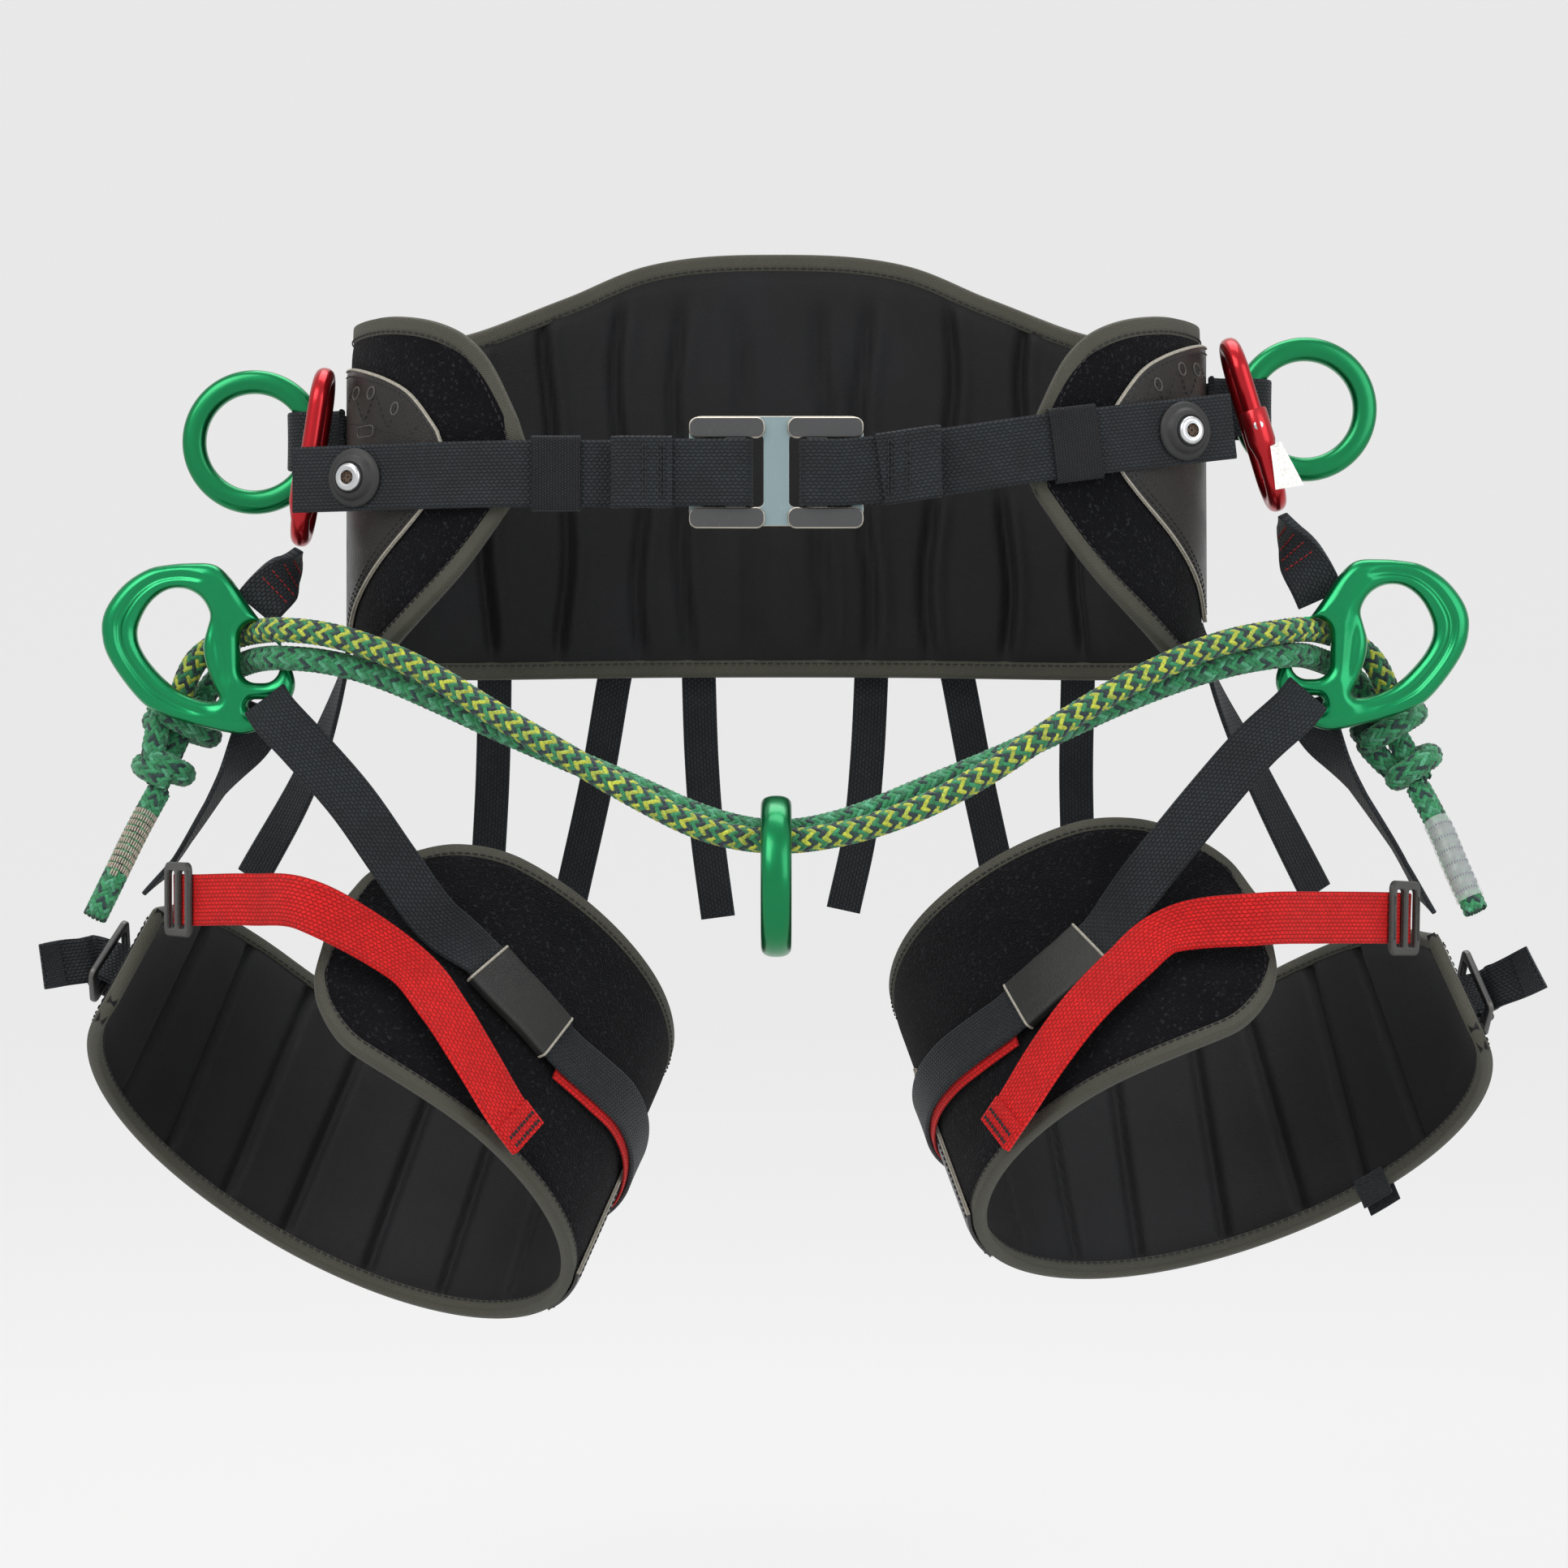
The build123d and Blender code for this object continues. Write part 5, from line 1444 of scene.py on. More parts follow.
def makeSideLoop(side):
    sign = sides[side]
    x, y, z = rings["sideCentre"][side]
    axisX = abs(x) - rings["sideRadius"]
    bow = rings["sideRadius"] - sqrt(rings["sideRadius"] ** 2 - (rings["loopHeight"] / 2) ** 2)
    radius = rings["sideHalf"] + bow + 1.6 + 1.2
    onBand = 214 + 4.5 + 0.8 + 3.6
    points = [(onBand, y + radius + 22), (onBand + 0.4, y + radius + 9), (onBand + 5, y + radius + 1)]
    for angle in range(90, -91, -30):
        points.append((axisX + radius * cos(radians(angle)), y + radius * sin(radians(angle))))
    points += [(onBand + 5, y - radius - 1), (onBand + 0.6, y - radius - 7), (onBand + 0.4, y - radius - 15)]
    route = [(sign * px, py, z) for px, py in points]
    _, (line, way, _) = strap(f"sideLoop.{side}", route, [(0, 0, 1)] * len(route), rings["loopHeight"], 2.4,
                        nodes=[f"side_loop_{side}"], step=1.5)
    rowsOf = []
    for spot in (8, 11, 14):
        rowsOf.append((np.array([line[spot] + way[spot] * 13, line[spot] - way[spot] * 13])
                       + (sign * 1.2, 0, 0),
                       np.array([sign, 0, 0.0])))
    joinStitches(f"sideLoopSeam.{side}", rowsOf, "saddle", "greyThread", "webbing", each=2.2, gap=0.8,
                 radius=0.35)


def makeGatedRing(side):
    topX, topZ, lowX, lowZ = rings["gatedEnds"][side]
    low, top = np.array([lowX, rings["gatedDepth"], lowZ]), np.array([topX, rings["gatedDepth"], topZ])
    along3, middle = unit(top - low), (top + low) / 2
    wide, tall = rings["gatedSize"]
    r, tubeSize = (wide - 2 * rings["gatedTube"]) / 2, rings["gatedTube"]
    straight = (tall - wide) / 2
    a = np.linspace(0, 2 * pi, 160, endpoint=False)
    flatX = r * np.cos(a)
    flatZ = r * np.sin(a) + np.sign(np.sin(a)) * straight * np.clip(np.abs(np.sin(a)) * 6, 0, 1)
    front = np.array([0, -1.0, 0])
    line = middle + flatX[:, None] * front + flatZ[:, None] * along3
    line = evenlyClosed(line, 200)
    nearest = np.clip((line - middle) @ along3, -straight, straight)
    outward = unit(line - (middle + nearest[:, None] * along3))
    parts = [sweptRing(line, roundSection(tubeSize, tubeSize, 0.9, 20), outward)]
    at = middle + front * r + along3 * rings["boss"][side]
    half = 8.5
    shape = [(4.6, -half - 9), (5.4, -half - 6), (6.4, -half - 2), (7.0, -half), (7.0, half - 1),
             (6.4, half), (4.6, half)]
    parts.append(lathe(shape, at, along3, 40))
    parts.append(lathe([(4.4, half), (4.4, half - 4), (0.2, half - 4)], at, along3, 32))
    ring = joinedPiece(f"gatedRing.{side}", parts, "redMetal", "saddle", 50)
    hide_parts(f"gated_ring_{side}")
    screw = [lathe([(3.2, half - 4), (3.2, half + 0.6), (2.7, half + 1.2), (1.6, half + 1.2),
                    (1.4, half + 0.2), (0.1, half + 0.2)],
                    at, along3, 28)]
    screw.append(lathe([(0.1, 6.9), (2.2, 6.9), (2.6, 6.5), (2.8, 5.8)], at, front, 28))
    verts, faces, _ = joinParts(screw)
    return verts, faces


def evenlyClosed(line, count):
    closed = np.vstack([line, line[:1]])
    far = lengths(closed)
    at = np.linspace(0, far[-1], count, endpoint=False)
    return np.stack([np.interp(at, far, closed[:, k]) for k in range(3)], axis=1)


def smoothRing(points, count=200):
    p = np.array(points, float)
    p = np.hstack([p, np.zeros((len(p), 1))])
    looped = np.vstack([p[-2:], p, p[:3]])
    line = fineLine(looped, 0.6)
    first = np.argmin(np.linalg.norm(line[:len(line) // 2] - p[0], axis=1))
    last = len(line) // 2 + np.argmin(np.linalg.norm(line[len(line) // 2:] - p[0], axis=1))
    return evenlyClosed(line[first:last], count)[:, :2]


def gapTo(points, ring):
    # distance from points to a closed outline
    a, b = ring, np.roll(ring, -1, axis=0)
    best = np.full(len(points), 1e9)
    for p, q in zip(a, b):
        d = q - p
        t = np.clip(((points - p) @ d) / max(d @ d, 1e-9), 0, 1)
        best = np.minimum(best, np.linalg.norm(points - (p + t[:, None] * d), axis=1))
    return best


def makeForgedRing(side):
    sign = -sides[side]
    outer, hole = smoothRing(rings["forgedOutline"], 160), smoothRing(rings["forgedHole"], 120)
    x, z, wide, tall, corner = rings["ropeHole"]
    ropeRing = np.array(roundedBox(wide, tall, corner, x, z))
    x, z, wide, tall, corner = rings["legSlot"]
    slotRing = np.array(roundedBox(wide, tall, corner, x, z))
    name = f"forgedRing.{side}"
    ring = plateMesh(name, outer.tolist(), [hole[::-1].tolist(), ropeRing[::-1].tolist(),
                                            slotRing[::-1].tolist()], 6.0, 0.8,
                     "forgedGreen", None, (0, 0, 0))
    bpy.context.view_layer.objects.active = ring
    remesh = ring.modifiers.new("even", "REMESH")
    remesh.mode = "VOXEL"
    remesh.voxel_size = 0.00075
    made = bpy.data.meshes.new_from_object(ring.evaluated_get(bpy.context.evaluated_depsgraph_get()))
    ring.modifiers.clear()
    ring.data = made
    co = np.zeros(len(made.vertices) * 3)
    made.vertices.foreach_get("co", co)
    co = co.reshape(-1, 3) / mm
    flat = co[:, [0, 2]]
    toOuter, toHole = gapTo(flat, outer), gapTo(flat, hole)
    toRope, toSlot = gapTo(flat, ropeRing), gapTo(flat, slotRing)
    nearest = np.minimum(np.minimum(toOuter, toHole), np.minimum(toRope, toSlot))
    dome = np.sqrt(np.clip(1 - (1 - np.clip(nearest / 7.5, 0, 1)) ** 2, 0, 1))
    height = 1.9 + 4.6 * dome
    # a channel along the rim, and ridges on the bar beside the ropes
    fade = 1 / (1 + np.exp((flat[:, 0] - 12) / 3.0))
    middle = np.exp(-((toOuter - toHole - 0.5) / 3.2) ** 2)
    height -= 2.3 * middle * fade
    bar = np.exp(-((flat[:, 0] - 23 - 0.12 * flat[:, 1] * -1)
                   / 3.0) ** 2) * np.exp(-((flat[:, 1] + 4) / 17) ** 4)
    height -= 1.7 * bar
    for cx, cz, size, gain in ((20, 27, 7.0, 1.1), (36, 12, 6.0, 0.7), (33, -27, 6.0, 0.8),
                               (27, -33, 6.0, 0.5), (18, -34, 5, -0.4)):
        height += gain * np.exp(-(((flat[:, 0] - cx) / size) ** 2 + ((flat[:, 1] - cz) / size) ** 2))
    height = np.minimum(height, 6.45)
    co[:, 1] = co[:, 1] / 3.0 * height
    co[:, 0] *= sign
    centre = np.array(rings["forgedCentre"][side])
    made.vertices.foreach_set("co", ((co + centre) * mm).ravel())
    if sign < 0:
        made.flip_normals()
    made.update()
    smooth = ring.modifiers.new("soft", "SMOOTH")
    smooth.factor = 0.5
    smooth.iterations = 6
    made.polygons.foreach_set("use_smooth", [True] * len(made.polygons))
    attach(ring, "saddle")
    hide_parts(f"bridge_ring_{side}")


def makeCentreRing():
    c = rings["centreRing"]
    a = np.linspace(0, 2 * pi, 160, endpoint=False)
    radial = np.stack([0 * a, np.cos(a), np.sin(a)], axis=1)
    line = np.array(c["middle"]) + radial * (c["inner"] + c["radial"] / 2)
    verts, faces, _ = sweptRing(line, roundSection(c["radial"] / 2, c["wide"] / 2, 0.8, 28), radial)
    ring = meshPiece("centreRing", verts, faces, finishes["greenMetal"], "bridge_ring")
    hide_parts("bridge_centre_ring")


screwVerts, screwFaces = [], []
for side in sides:
    makeSideRing(side)
    makeSideLoop(side)
    gateVerts, gateFaces = makeGatedRing(side)
    screwFaces += [[i + sum(len(v) for v in screwVerts) for i in f] for f in gateFaces]
    screwVerts.append(gateVerts)
    makeForgedRing(side)
gateScrews = meshPiece("gateScrews", np.vstack(screwVerts), screwFaces, finishes["screwSteel"], "saddle",
                       sharp=50)
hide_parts("gate_screws")
makeCentreRing()
print("rings made")

# leg loops
legs = {
    "centre": {"left": (-229.0, -30.0, -355.0), "right": (234.0, -30.0, -348.0)},
    "turn": {"left": 29.0, "right": 19.0}, "lean": {"left": 24.0, "right": 20.0}, "tilt": 36.0,
    "wide": 136.0, "deep": 106.0, "thickness": 8.0, "edgeThickness": 4.6, "binding": 6.0,
    "low": [(-112, 62), (-109, 30), (-103, 10), (-94, 0), (-60, 0), (0, 0), (90, 0), (185, 0), (190, 8)],
    "high": [(-112, 70), (-109, 96), (-103, 117), (-94, 136), (-80, 148), (-40, 152), (0, 150), (40, 152),
             (120, 148),
             (150, 128), (175, 88), (190, 70)],
    "channels": {"left": [(112, 108), (95, 92), (76, 71), (58, 51), (40, 29), (132, 126), (150, 146)],
                 "right": [(127, 118), (108, 102), (94, 83), (74, 62), (56, 45), (143, 137), (36, 26)]},
    "leather": (-8.0, 16.0, 3.0, 96.0, 2.2),
    "strapFirst": {"left": [(-257, -70, -121), (-252, -76, -128), (-236, -80, -145), (-212, -85, -172),
                            (-190, -88, -203),
                            (-170, -84, -231)],
                   "right": [(267, -70, -118), (260, -76, -126), (240, -80, -144), (215, -84, -172),
                             (188, -86, -205)]},
    "strapWrap": {"left": [(-80, 80), (-73, 75), (-66, 72), (-54, 68), (-42, 72), (-30, 78), (-16, 80),
                           (0, 78), (18, 76),
                           (40, 76), (64, 78), (90, 82), (116, 84), (142, 80), (162, 74)],
                  "right": [(-77, 74), (-70, 68), (-63, 64), (-52, 60), (-41, 62), (-30, 66), (-16, 70),
                            (0, 72), (18, 74),
                            (40, 76), (64, 78), (90, 82), (116, 84), (142, 80), (162, 74)]},
    "redFirst": {"left": [(-306, -38, -222), (-294, -58, -222), (-262, -88, -221), (-232, -112, -223)],
                 "right": [(322, -38, -232), (308, -58, -231), (272, -88, -230), (238, -112, -230)]},
    "redWrap": {"left": [(-92, 50), (-82, 38), (-72, 24), (-62, 12), (-55, 8)],
                "right": [(-90, 58), (-80, 48), (-69, 36), (-58, 22), (-48, 10), (-40, 4)]},
    "tail": {"left": [(-359, 11, -255), (-369, 4, -256), (-380, -1, -258)],
             "right": [(374, 11, -268), (384, 4, -263), (393, -1, -258)]},
    "sideRiser": {"left": [(-260, -43, -124), (-267, -39, -141), (-286, -34, -170), (-306, -16, -198),
                           (-322, -4, -216)],
                  "right": [(270, -43, -121), (277, -39, -139), (297, -34, -168), (320, -16, -200),
                            (336, -4, -226)]},
    "buckle": (170.0, 52.0, 13.0), "firstLayer": 9.9, "secondLayer": 15.3,
}


class LegShape:
    def __init__(self, side):
        self.sign = -sides[side]
        self.centre = np.array(legs["centre"][side])
        tilt = radians(legs["tilt"])
        self.longWay = self.turned((self.sign, 0, 0), legs["turn"][side])
        self.backWay = self.turned((0, cos(tilt), -sin(tilt)), legs["turn"][side])
        self.down = self.turned((0, -sin(tilt), -cos(tilt)), legs["lean"][side])

    def turned(self, v, angle):
        a = radians(angle) * self.sign
        return np.array([v[0] * cos(a) + v[2] * sin(a), v[1], -v[0] * sin(a) + v[2] * cos(a)])

    def out(self, angle):
        a = np.radians(np.asarray(angle, float))[..., None]
        return unit(self.longWay * np.cos(a) / legs["wide"] + self.backWay * np.sin(a) / legs["deep"])

    def at(self, angle, height, off=0.0):
        a = np.radians(np.asarray(angle, float))[..., None]
        height, off = np.asarray(height, float)[..., None], np.asarray(off, float)[..., None]
        ring = self.longWay * legs["wide"] * np.cos(a) + self.backWay * legs["deep"] * np.sin(a)
        return self.centre + ring - self.down * height + self.out(angle) * off


def makeLegPad(side, leg):
    angles = np.concatenate([np.linspace(-112, -92, 40), np.linspace(-92, 172, 300)[1:-1],
                             np.linspace(172, 190, 34)])
    levels = np.concatenate([[0, 0.008, 0.02, 0.04], np.linspace(0.065, 0.935, 46), [0.96, 0.98, 0.992, 1]])
    top, bottom = tableValue(legs["high"], angles), tableValue(legs["low"], angles)
    z = bottom[:, None] + (top - bottom)[:, None] * levels[None, :]
    flat = leg.at(angles, 0 * angles)
    arc = np.concatenate([[0], np.cumsum(np.linalg.norm(np.diff(flat, axis=0), axis=1))])
    endGap = np.minimum(arc, arc[-1] - arc)[:, None]
    edgeGap = np.minimum(np.minimum(z - bottom[:, None], top[:, None] - z), endGap + 0 * z)
    crown = np.clip((edgeGap - legs["binding"]) / 13.0, 0, 1)
    crown = np.sqrt(crown * (2 - crown))
    half = legs["edgeThickness"] / 2 + (legs["thickness"] - legs["edgeThickness"]) / 2 * crown
    perDegree = 2.1
    a = angles[:, None] + 0 * z
    deep = 0 * z
    for high, low in legs["channels"][side]:
        middle = low + (high - low) * z / 130
        deep = np.maximum(deep, np.exp(-((a - middle) * perDegree / 2.6) ** 2))
    ripple = wrinkleField(a * 2.2, z, 11 if side == "left" else 12)
    bulge = 0.5 * np.cos((a - 20) / 9.0)
    innerOff = -(half - 4.6 * deep * np.minimum(crown * 1.5, 1)) + (ripple * 0.45 + 0.2 * bulge) * crown
    outerOff = half + ripple * 0.4 * crown
    grid = [leg.at(a, z, outerOff), leg.at(a, z, innerOff)]
    faces, marks = slabFaces(*z.shape)
    uv = np.stack([np.broadcast_to(arc[:, None], z.shape).reshape(-1), z.reshape(-1)], axis=-1)
    pad = meshPiece(f"legPad.{side}", np.vstack([g.reshape(-1, 3) for g in grid]), faces, None, f"leg_{side}",
                    uv=np.vstack([uv, uv]), mats=[finishes["liner"], finishes["nap"]], faceMats=marks)
    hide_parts(f"leg_pad_{side}")
    low = np.stack([arc, bottom], axis=1)
    high = np.stack([arc, top], axis=1)
    loop = outlineLoop(low, high, 800)
    tangent = unit(np.roll(loop, -1, axis=0) - np.roll(loop, 1, axis=0))
    angle = np.interp(loop[:, 0], arc, angles)
    forward = unit(leg.at(angle + 0.3, 0 * angle) - leg.at(angle - 0.3, 0 * angle))
    inward = unit(forward * -tangent[:, 1][:, None] - leg.down * tangent[:, 0][:, None])
    centre = leg.at(angle, loop[:, 1])
    boundTape(f"legBinding.{side}", centre + inward * 0.8, leg.out(angle), inward,
              legs["edgeThickness"] / 2 + 0.2,
              legs["binding"], f"leg_{side}")


def makeLegLeather(side, leg):
    first, last, low, high, thick = legs["leather"]
    inner = legs["thickness"] / 2 + 0.5
    angles, levels = np.linspace(first, last, 26), np.linspace(low, high, 46)
    a, z = np.meshgrid(angles, levels, indexing="ij")
    gap = np.minimum(np.minimum(z - low, high - z), np.minimum(a - first, last - a) * 2.2)
    outer = leg.at(a, z, inner + thick * (0.7 + 0.3 * np.clip(gap / 3, 0, 1)) + 0.25
                   * wrinkleField(a * 3, z, 4))
    under = leg.at(a, z, inner + 0 * z)
    faces = slabFaces(*z.shape)[0]
    strip = meshPiece(f"legLeather.{side}", np.vstack([outer.reshape(-1, 3), under.reshape(-1, 3)]), faces,
                      finishes["leather"], f"leg_{side}", sharp=60)
    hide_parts(f"leg_leather_{side}")
    parts, rowsOf = [], []
    for angle, way in ((first, -0.25), (last, 0.25)):
        for lift in (0.6, 1.6):
            parts.append(tube(leg.at(angle + way + 0 * levels, levels, inner + lift + 0 * levels), 0.6, 8))
        inset = angle - way * 6.5
        rowsOf.append((leg.at(inset + 0 * levels, levels, inner + thick + 0 * levels),
                       leg.out(inset + 0 * levels)))
    joinedPiece(f"legLeatherEdge.{side}", parts, "creamEdge", f"leg_{side}")
    joinStitches(f"legLeatherSeam.{side}", rowsOf, f"leg_{side}", "thread", "leather", each=2.4, gap=1.2,
                 radius=0.32,
                 lift=0.05)


def makeLegStraps(side, leg):
    sign, body = leg.sign, f"leg_{side}"
    wrap = np.array(legs["strapWrap"][side], float)
    onPad = leg.at(wrap[:, 0], wrap[:, 1], legs["firstLayer"])
    free = legs["strapFirst"][side]
    ways = [(sign * 0.75, 0, 0.66)] * len(free) + [tuple(-leg.down)] * len(wrap)
    strap(f"legStrap.{side}", list(free) + list(onPad), ways, 25.0, 2.4, body=body,
                                   nodes=[f"leg_strap_{side}"], step=2.5)
    first, last = onPad[0] + (onPad[1] - onPad[0]) * 0.3, onPad[3] - (onPad[3] - onPad[2]) * 0.3
    middle = fineLine([first, onPad[1], onPad[2], last], 1.5)
    keeper = sleeveMesh(f"legKeeper.{side}", middle, np.broadcast_to(-leg.down, middle.shape), 12.5 + 0.4,
                        1.2 + 0.4, 1.8,
                        "patchLeather", body, "creamEdge")
    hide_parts(f"leg_keeper_{side}")
    parts = []
    for spot in (0, len(middle) - 1):
        run = unit(middle[min(spot + 1, len(middle) - 1)] - middle[max(spot - 1, 0)])
        across = unit(np.cross(run, -leg.down))
        up = np.cross(across, run)
        a = np.linspace(0, 2 * pi, 60)
        wide, deep = 12.9 + 1.5, 1.6 + 1.5
        rim = (middle[spot] + up * (wide * power(np.cos(a), 0.16))[:, None] + across
               * (deep * power(np.sin(a), 0.5))[:, None])
        parts.append(tube(rim, 0.75, 8, tuple(run), caps=False))
    joinedPiece(f"legKeeperEdge.{side}", parts, "creamEdge", body)
    # soft red lining under the black strap
    lining = np.array([w for w in legs["strapWrap"][side] if -58 < w[0] < 30], float)
    strap(f"redLining.{side}", list(leg.at(lining[:, 0], lining[:, 1] - 5.0, 7.7)),
          [tuple(-leg.down)] * len(lining), 24.0,
          1.5, "redWebbing", body, [], step=2.5)
    # red strap, its folded hem and the rows of stitches that hold it
    wrap = np.array(legs["redWrap"][side], float)
    onPad = leg.at(wrap[:, 0], wrap[:, 1], legs["secondLayer"])
    route = list(legs["redFirst"][side]) + list(onPad)
    ways = [(0, 0, 1)] * 4 + [tuple(-leg.down)] * len(wrap)
    _, (line, way, out) = strap(f"redStrap.{side}", route, ways, 26.0, 2.4, "redWebbing", body,
                                  [f"red_strap_{side}"], step=2.5)
    front = np.where(out[:, 1:2] < 0, 1.0, -1.0)
    out = out * front
    count = len(line)
    hemSpots = np.arange(count - 7, count)
    hem = [line[i] + out[i] * 2.0 for i in hemSpots]
    strap(f"redHem.{side}", hem[::2], [tuple(way[i]) for i in hemSpots[::2]], 25.4, 1.6, "redWebbing", body,
          [],
          step=1.5)
    bars = []
    for shift in (1, 2):
        i = count - shift * 2
        for deep in (0.0, 0.9):
            at = line[i] + (line[i - 1] - line[i]) * deep * 0.4
            bars.append((np.array([at + way[i] * 11.5, at - way[i] * 11.5]) + out[i] * 2.9, out[i]))
    joinStitches(f"redBar.{side}", bars, body, "thread", "red_webbing", each=2.0, gap=0.5, radius=0.45,
                 lift=0.0)
    rowsOf = []
    for across in (-10.6, 10.6):
        rowsOf.append((line[8:-8] + way[8:-8] * across + out[8:-8] * 1.15, out[8:-8]))
    joinStitches(f"redSeam.{side}", rowsOf, body, "redThread", "red_webbing", each=2.6, gap=1.4,
                 radius=0.26, lift=0.0)


def makeLegHardware(side, leg):
    body = f"leg_{side}"
    first, second = [np.array(p, float) for p in legs["redFirst"][side][:2]]
    run = unit(second - first)
    out = unit(np.cross(run, (0, 0, 1)))
    out = out if out[1] < 0 else -out
    middle = first + (second - first) * 0.45 + out * (1.2 + 0.4 + 1.5)
    windows = [roundedBox(8.25, 29.0, 2.0, x, 0)[::-1] for x in (-6.375, 6.375)]
    lock = plateMesh(f"ladderLock.{side}", roundedBox(30.0, 38.0, 4.5), windows, 3.0, 1.0, "darkPlastic",
                     body, middle,
                     axes=(run, out))
    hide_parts(f"ladder_lock_{side}")
    ridges = []
    for k in (-1, 1):
        up = np.cross(out, run)
        centre = middle + run * k * 12.8 + out * 1.3
        ridges.append(tube(np.array([centre + up * 11, centre, centre - up * 11]), 0.8, 10))
    joinedPiece(f"lockRibs.{side}", ridges, "darkPlastic", body)
    angle, height, off = legs["buckle"]
    outWay = leg.out(angle)
    across = unit(np.cross(outWay, leg.down))
    runWay = np.cross(across, outWay)
    frame = plateMesh(f"legBuckle.{side}", roundedBox(40.0, 28.0, 4.5), [roundedBox(30.0, 18.0, 2.5)[::-1]],
                      3.5, 1.2,
                      "frameSteel", body, leg.at(angle, height,
                                                 off + 1.75), axes=(runWay, outWay))
    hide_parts(f"leg_buckle_{side}")
    points = [leg.at(angle, height, off - 7), leg.at(angle, height, off + 7)] + legs["tail"][side]
    down = leg.down
    ways = [down, down, down, (down[0], -0.3, -0.9), (down[0], 0, -1)]
    _, (line, way, outs) = strap(f"legTail.{side}", points, ways, 24.0, 2.4, body=body,
                                 nodes=[f"leg_tail_{side}"],
                                    step=1.5)
    hemSpots = np.arange(len(line) - 8, len(line), 2)
    for face in (1, -1):
        strap(f"tailHem.{side}.{'near' if face > 0 else 'far'}",
              [line[i] + outs[i] * face * 1.7 for i in hemSpots],
              [tuple(way[i]) for i in hemSpots], 23.4, 1.2, "fineWebbing", body, [], step=1.5)
    bow = np.array([(136, 76, 11), (146, 72, 17), (156, 64, 24), (164, 56, 24), (169, 52, 17)], float)
    strap(f"strapBow.{side}", list(leg.at(bow[:, 0], bow[:, 1], bow[:, 2])), [tuple(-down)] * 5, 24.0, 2.2,
          body=body,
          nodes=[], step=2.0)
    ways = [(1, 0, 0), (0.8, 0.3, 0.4), (0.3, 0.8, 0.3), (0, 1, 0.1), (0, 1, 0)]
    strap(f"sideRiser.{side}", legs["sideRiser"][side], [(leg.sign * x, y, z) for x, y, z in ways], 25.0,
          2.4, body=body,
          nodes=[f"side_riser_{side}"], step=2.5)


def makeLabel(leg):
    # blank label folded over the edge of the right loop
    angles = np.linspace(116, 124, 5)
    for off, drop in ((3.4, 7.0), (-3.4, 5.0)):
        strap(f"label.{'outer' if off > 0 else 'inner'}",
              list(leg.at(angles, 0 * angles - drop + 5.0, off + 0 * angles)),
              [tuple(-leg.down)] * 5, 17.0, 1.0, "fineWebbing", "leg_right", [], 1.5)


for side in sides:
    legShape = LegShape(side)
    makeLegPad(side, legShape)
    makeLegLeather(side, legShape)
    makeLegStraps(side, legShape)
    makeLegHardware(side, legShape)
makeLabel(legShape)
print("leg loops made")

# risers between the waist pad and the legs, and the straps under the gated rings
risers = {
    "width": 18.5,
    "left": {
        "rear_riser": [(-153, 108.2, -86), (-153, 113, -104), (-155, 128, -160), (-160, 146, -230),
                       (-164, 158, -288)],
        "rear_cross_riser": [(-84, 119.8, -86), (-88, 122, -104), (-98, 130, -160), (-114, 144, -230),
                             (-128, 155, -292)],
        "outer_riser": [(-221, 10, -84), (-226, 24, -106), (-250, 66, -160), (-284, 112, -214)],
        "loose": [(-43, 121.5, -88), (-41, 123, -150), (-38, 123, -190), (-32, 121, -236)],
    },
    "right": {
        "rear_riser": [(163, 107.2, -86), (163, 112, -104), (163, 128, -160), (166, 146, -230),
                       (168, 158, -284)],
        "rear_cross_riser": [(94, 119.4, -86), (98, 121.5, -104), (109, 130, -160), (124, 144, -228),
                             (134, 155, -286)],
        "outer_riser": [(222, 12, -84), (227, 26, -106), (256, 68, -160), (292, 114, -222)],
        "loose": [(52, 121.5, -88), (49, 123, -150), (45, 123, -190), (36, 121, -232)],
    },
    "hip": {"left": [(-243, -40, -47), (-247, -42, -54), (-252, -46, -61), (-259, -50, -69),
                     (-264, -50, -75)],
            "right": [(257, -40, -29), (261, -42, -38), (266, -46, -49), (272, -50, -61), (276, -50, -70)]},
    "hipWays": [(0, 1, 0), (0.3, 0.9, -0.2), (0.7, 0.5, -0.5), (0.81, 0, -0.59), (0.81, 0, -0.59)],
}


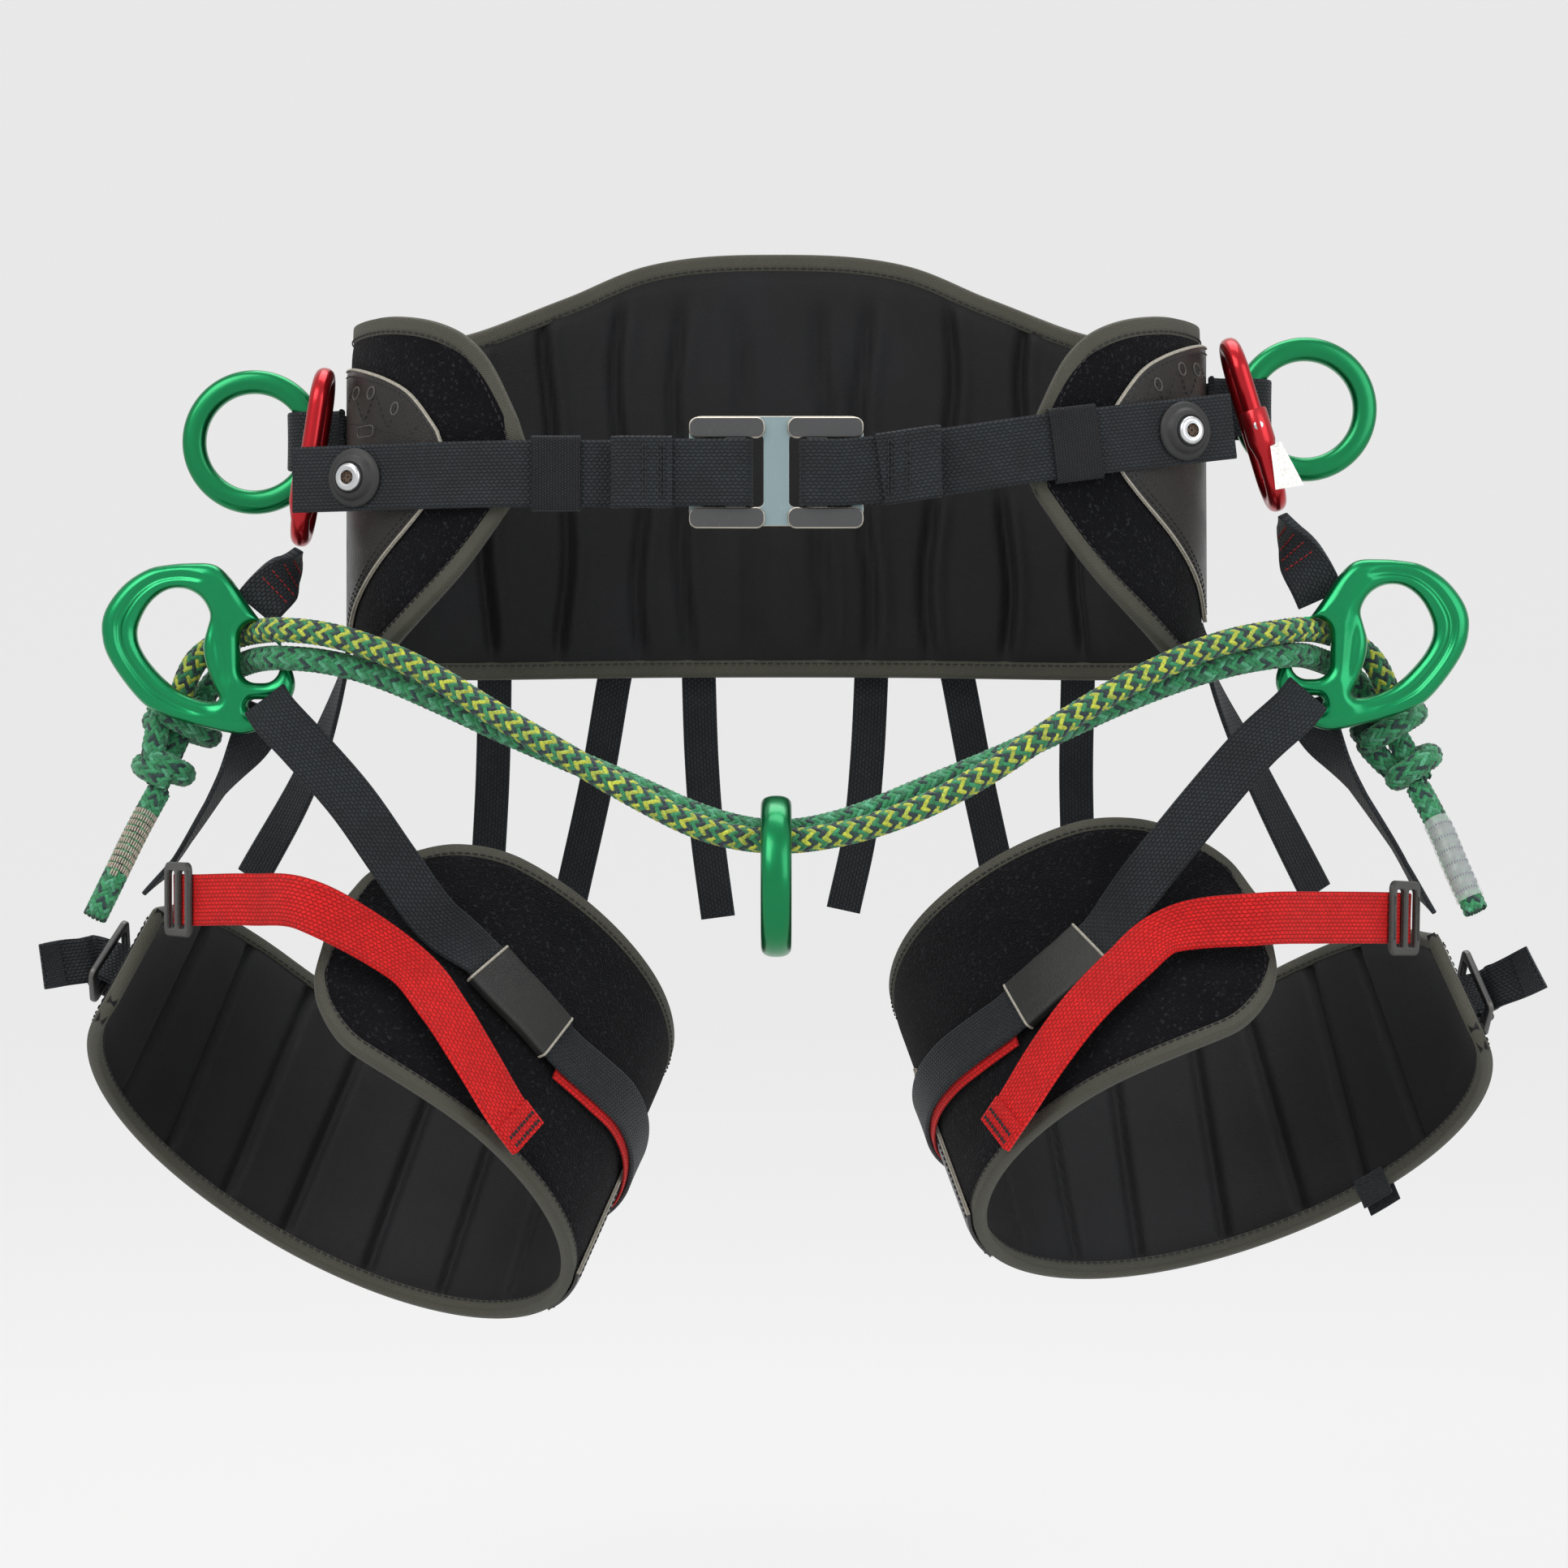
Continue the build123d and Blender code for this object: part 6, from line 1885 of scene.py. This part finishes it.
def makeRisers():
    loose = []
    for side, sign in sides.items():
        for name, points in risers[side].items():
            ways = [(1, 0, 0)] * len(points)
            if name == "outer_riser":
                ways = [(0, 1, 0), (0.2 * sign, 1, 0), (0.8 * sign, 0.8, 0.3), (sign, 0.3, 0.3)]
            verts, faces, uv, (line, way, out) = ribbonMesh(points, ways, risers["width"], 2.4, 3.0)
            piece = f"{name.replace('_', '')}.{side}"
            if name == "loose":
                loose.append((verts, faces, uv))
                continue
            band = meshPiece(piece, verts, faces, finishes["webbing"], None, uv=uv, sharp=50)
            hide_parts(f"{name}_{side}")
            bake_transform(band)
    verts, faces, uv = joinParts(loose)
    tails = meshPiece("looseRisers", verts, faces, finishes["webbing"], "saddle", uv=uv, sharp=50)
    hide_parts("loose_risers")
    for side in sides:
        ways = [(-sides[side] * x, y, z) for x, y, z in risers["hipWays"]]
        points = risers["hip"][side]
        _, (line, way, out) = strap(f"hipStrap.{side}", points, ways, 25.0, 4.8,
                                    nodes=[f"hip_strap_{side}"], step=1.5)
        rowsOf = []
        for face in (1, -1):
            for spot in (4, 8, 12, 16):
                at = line[spot] + out[spot] * face * 2.3
                rowsOf.append((np.array([at + way[spot] * 10, at - way[spot] * 10]), out[spot] * face))
        joinStitches(f"hipSeam.{side}", rowsOf, "saddle", "redThread", each=2.2, gap=0.9, radius=0.34)


def makeRopeSleeve():
    # clear shrink tube over grey whipping on the right tail, and a sewn patch on the left one
    points = ropes["tails"]["right"]
    line = routeLine(points)
    far = lengths(line)
    stop = far[-1] - 6.5
    spots = np.linspace(far[-1] * 0.3, stop, 40)
    path = along(line, line, spots)
    radius = ropes["diameter"] / 2
    outer = tube(path, np.full(40, radius + 0.75) + 0.12 * np.sin(np.linspace(0, 40, 40)), 36, (0, -1, 0),
                 caps=False)
    sleeve = meshPiece("tailSleeve", outer[0], outer[1], finishes["shrink"], "saddle")
    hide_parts("rope_sleeve_right")
    for side, name, colour, low, high in (("right", "tailWhipping", "greyThread", 0.34, 0.88),
                                          ("left", "tailPatch", "beigeThread", 0.2, 0.72)):
        line = routeLine(ropes["tails"][side])
        far = lengths(line)
        spots = np.linspace(far[-1] * low, far[-1] * high, 30)
        path = along(line, line, spots)
        run = unit(np.gradient(path, axis=0))
        facing = unit(np.array([0.15, -1.0, 0.0]) - run * (run @ np.array([0.15, -1.0, 0.0]))[:, None])
        other = np.cross(run, facing)
        rowsOf = []
        for turn in range(-60, 61, 12):
            way = facing * cos(radians(turn)) + other * sin(radians(turn))
            rowsOf.append((path + way * (radius + 0.15), way))
        patch = joinStitches(f"{name}.{side}", rowsOf, "saddle", colour, "green_rope", each=3.2, gap=0.5,
                             radius=0.5,
                             lift=0.0)
        tail, line, knot = tails[side]


def makePaperTag():
    # blank slip folded round the right gated ring
    rows, columns = 18, 10
    grid = []
    for i in range(rows):
        t = i / (rows - 1)
        for k in range(columns):
            s = k / (columns - 1) - 0.5
            grid.append((251.5 + (5.0 + 9.0 * t) * s + 7.0 * t,
                         -62.5 - 1.2 * sin(3.0 * s) - 1.5 * sin(2.2 * t), 8.0 - 22.0 * t + 2.2 * s))
    meshPiece("paperTag", np.array(grid), gridFaces(rows, columns).tolist(), finishes["paper"], "saddle")


makeRisers()
makeRopeSleeve()
makePaperTag()
print("risers made")
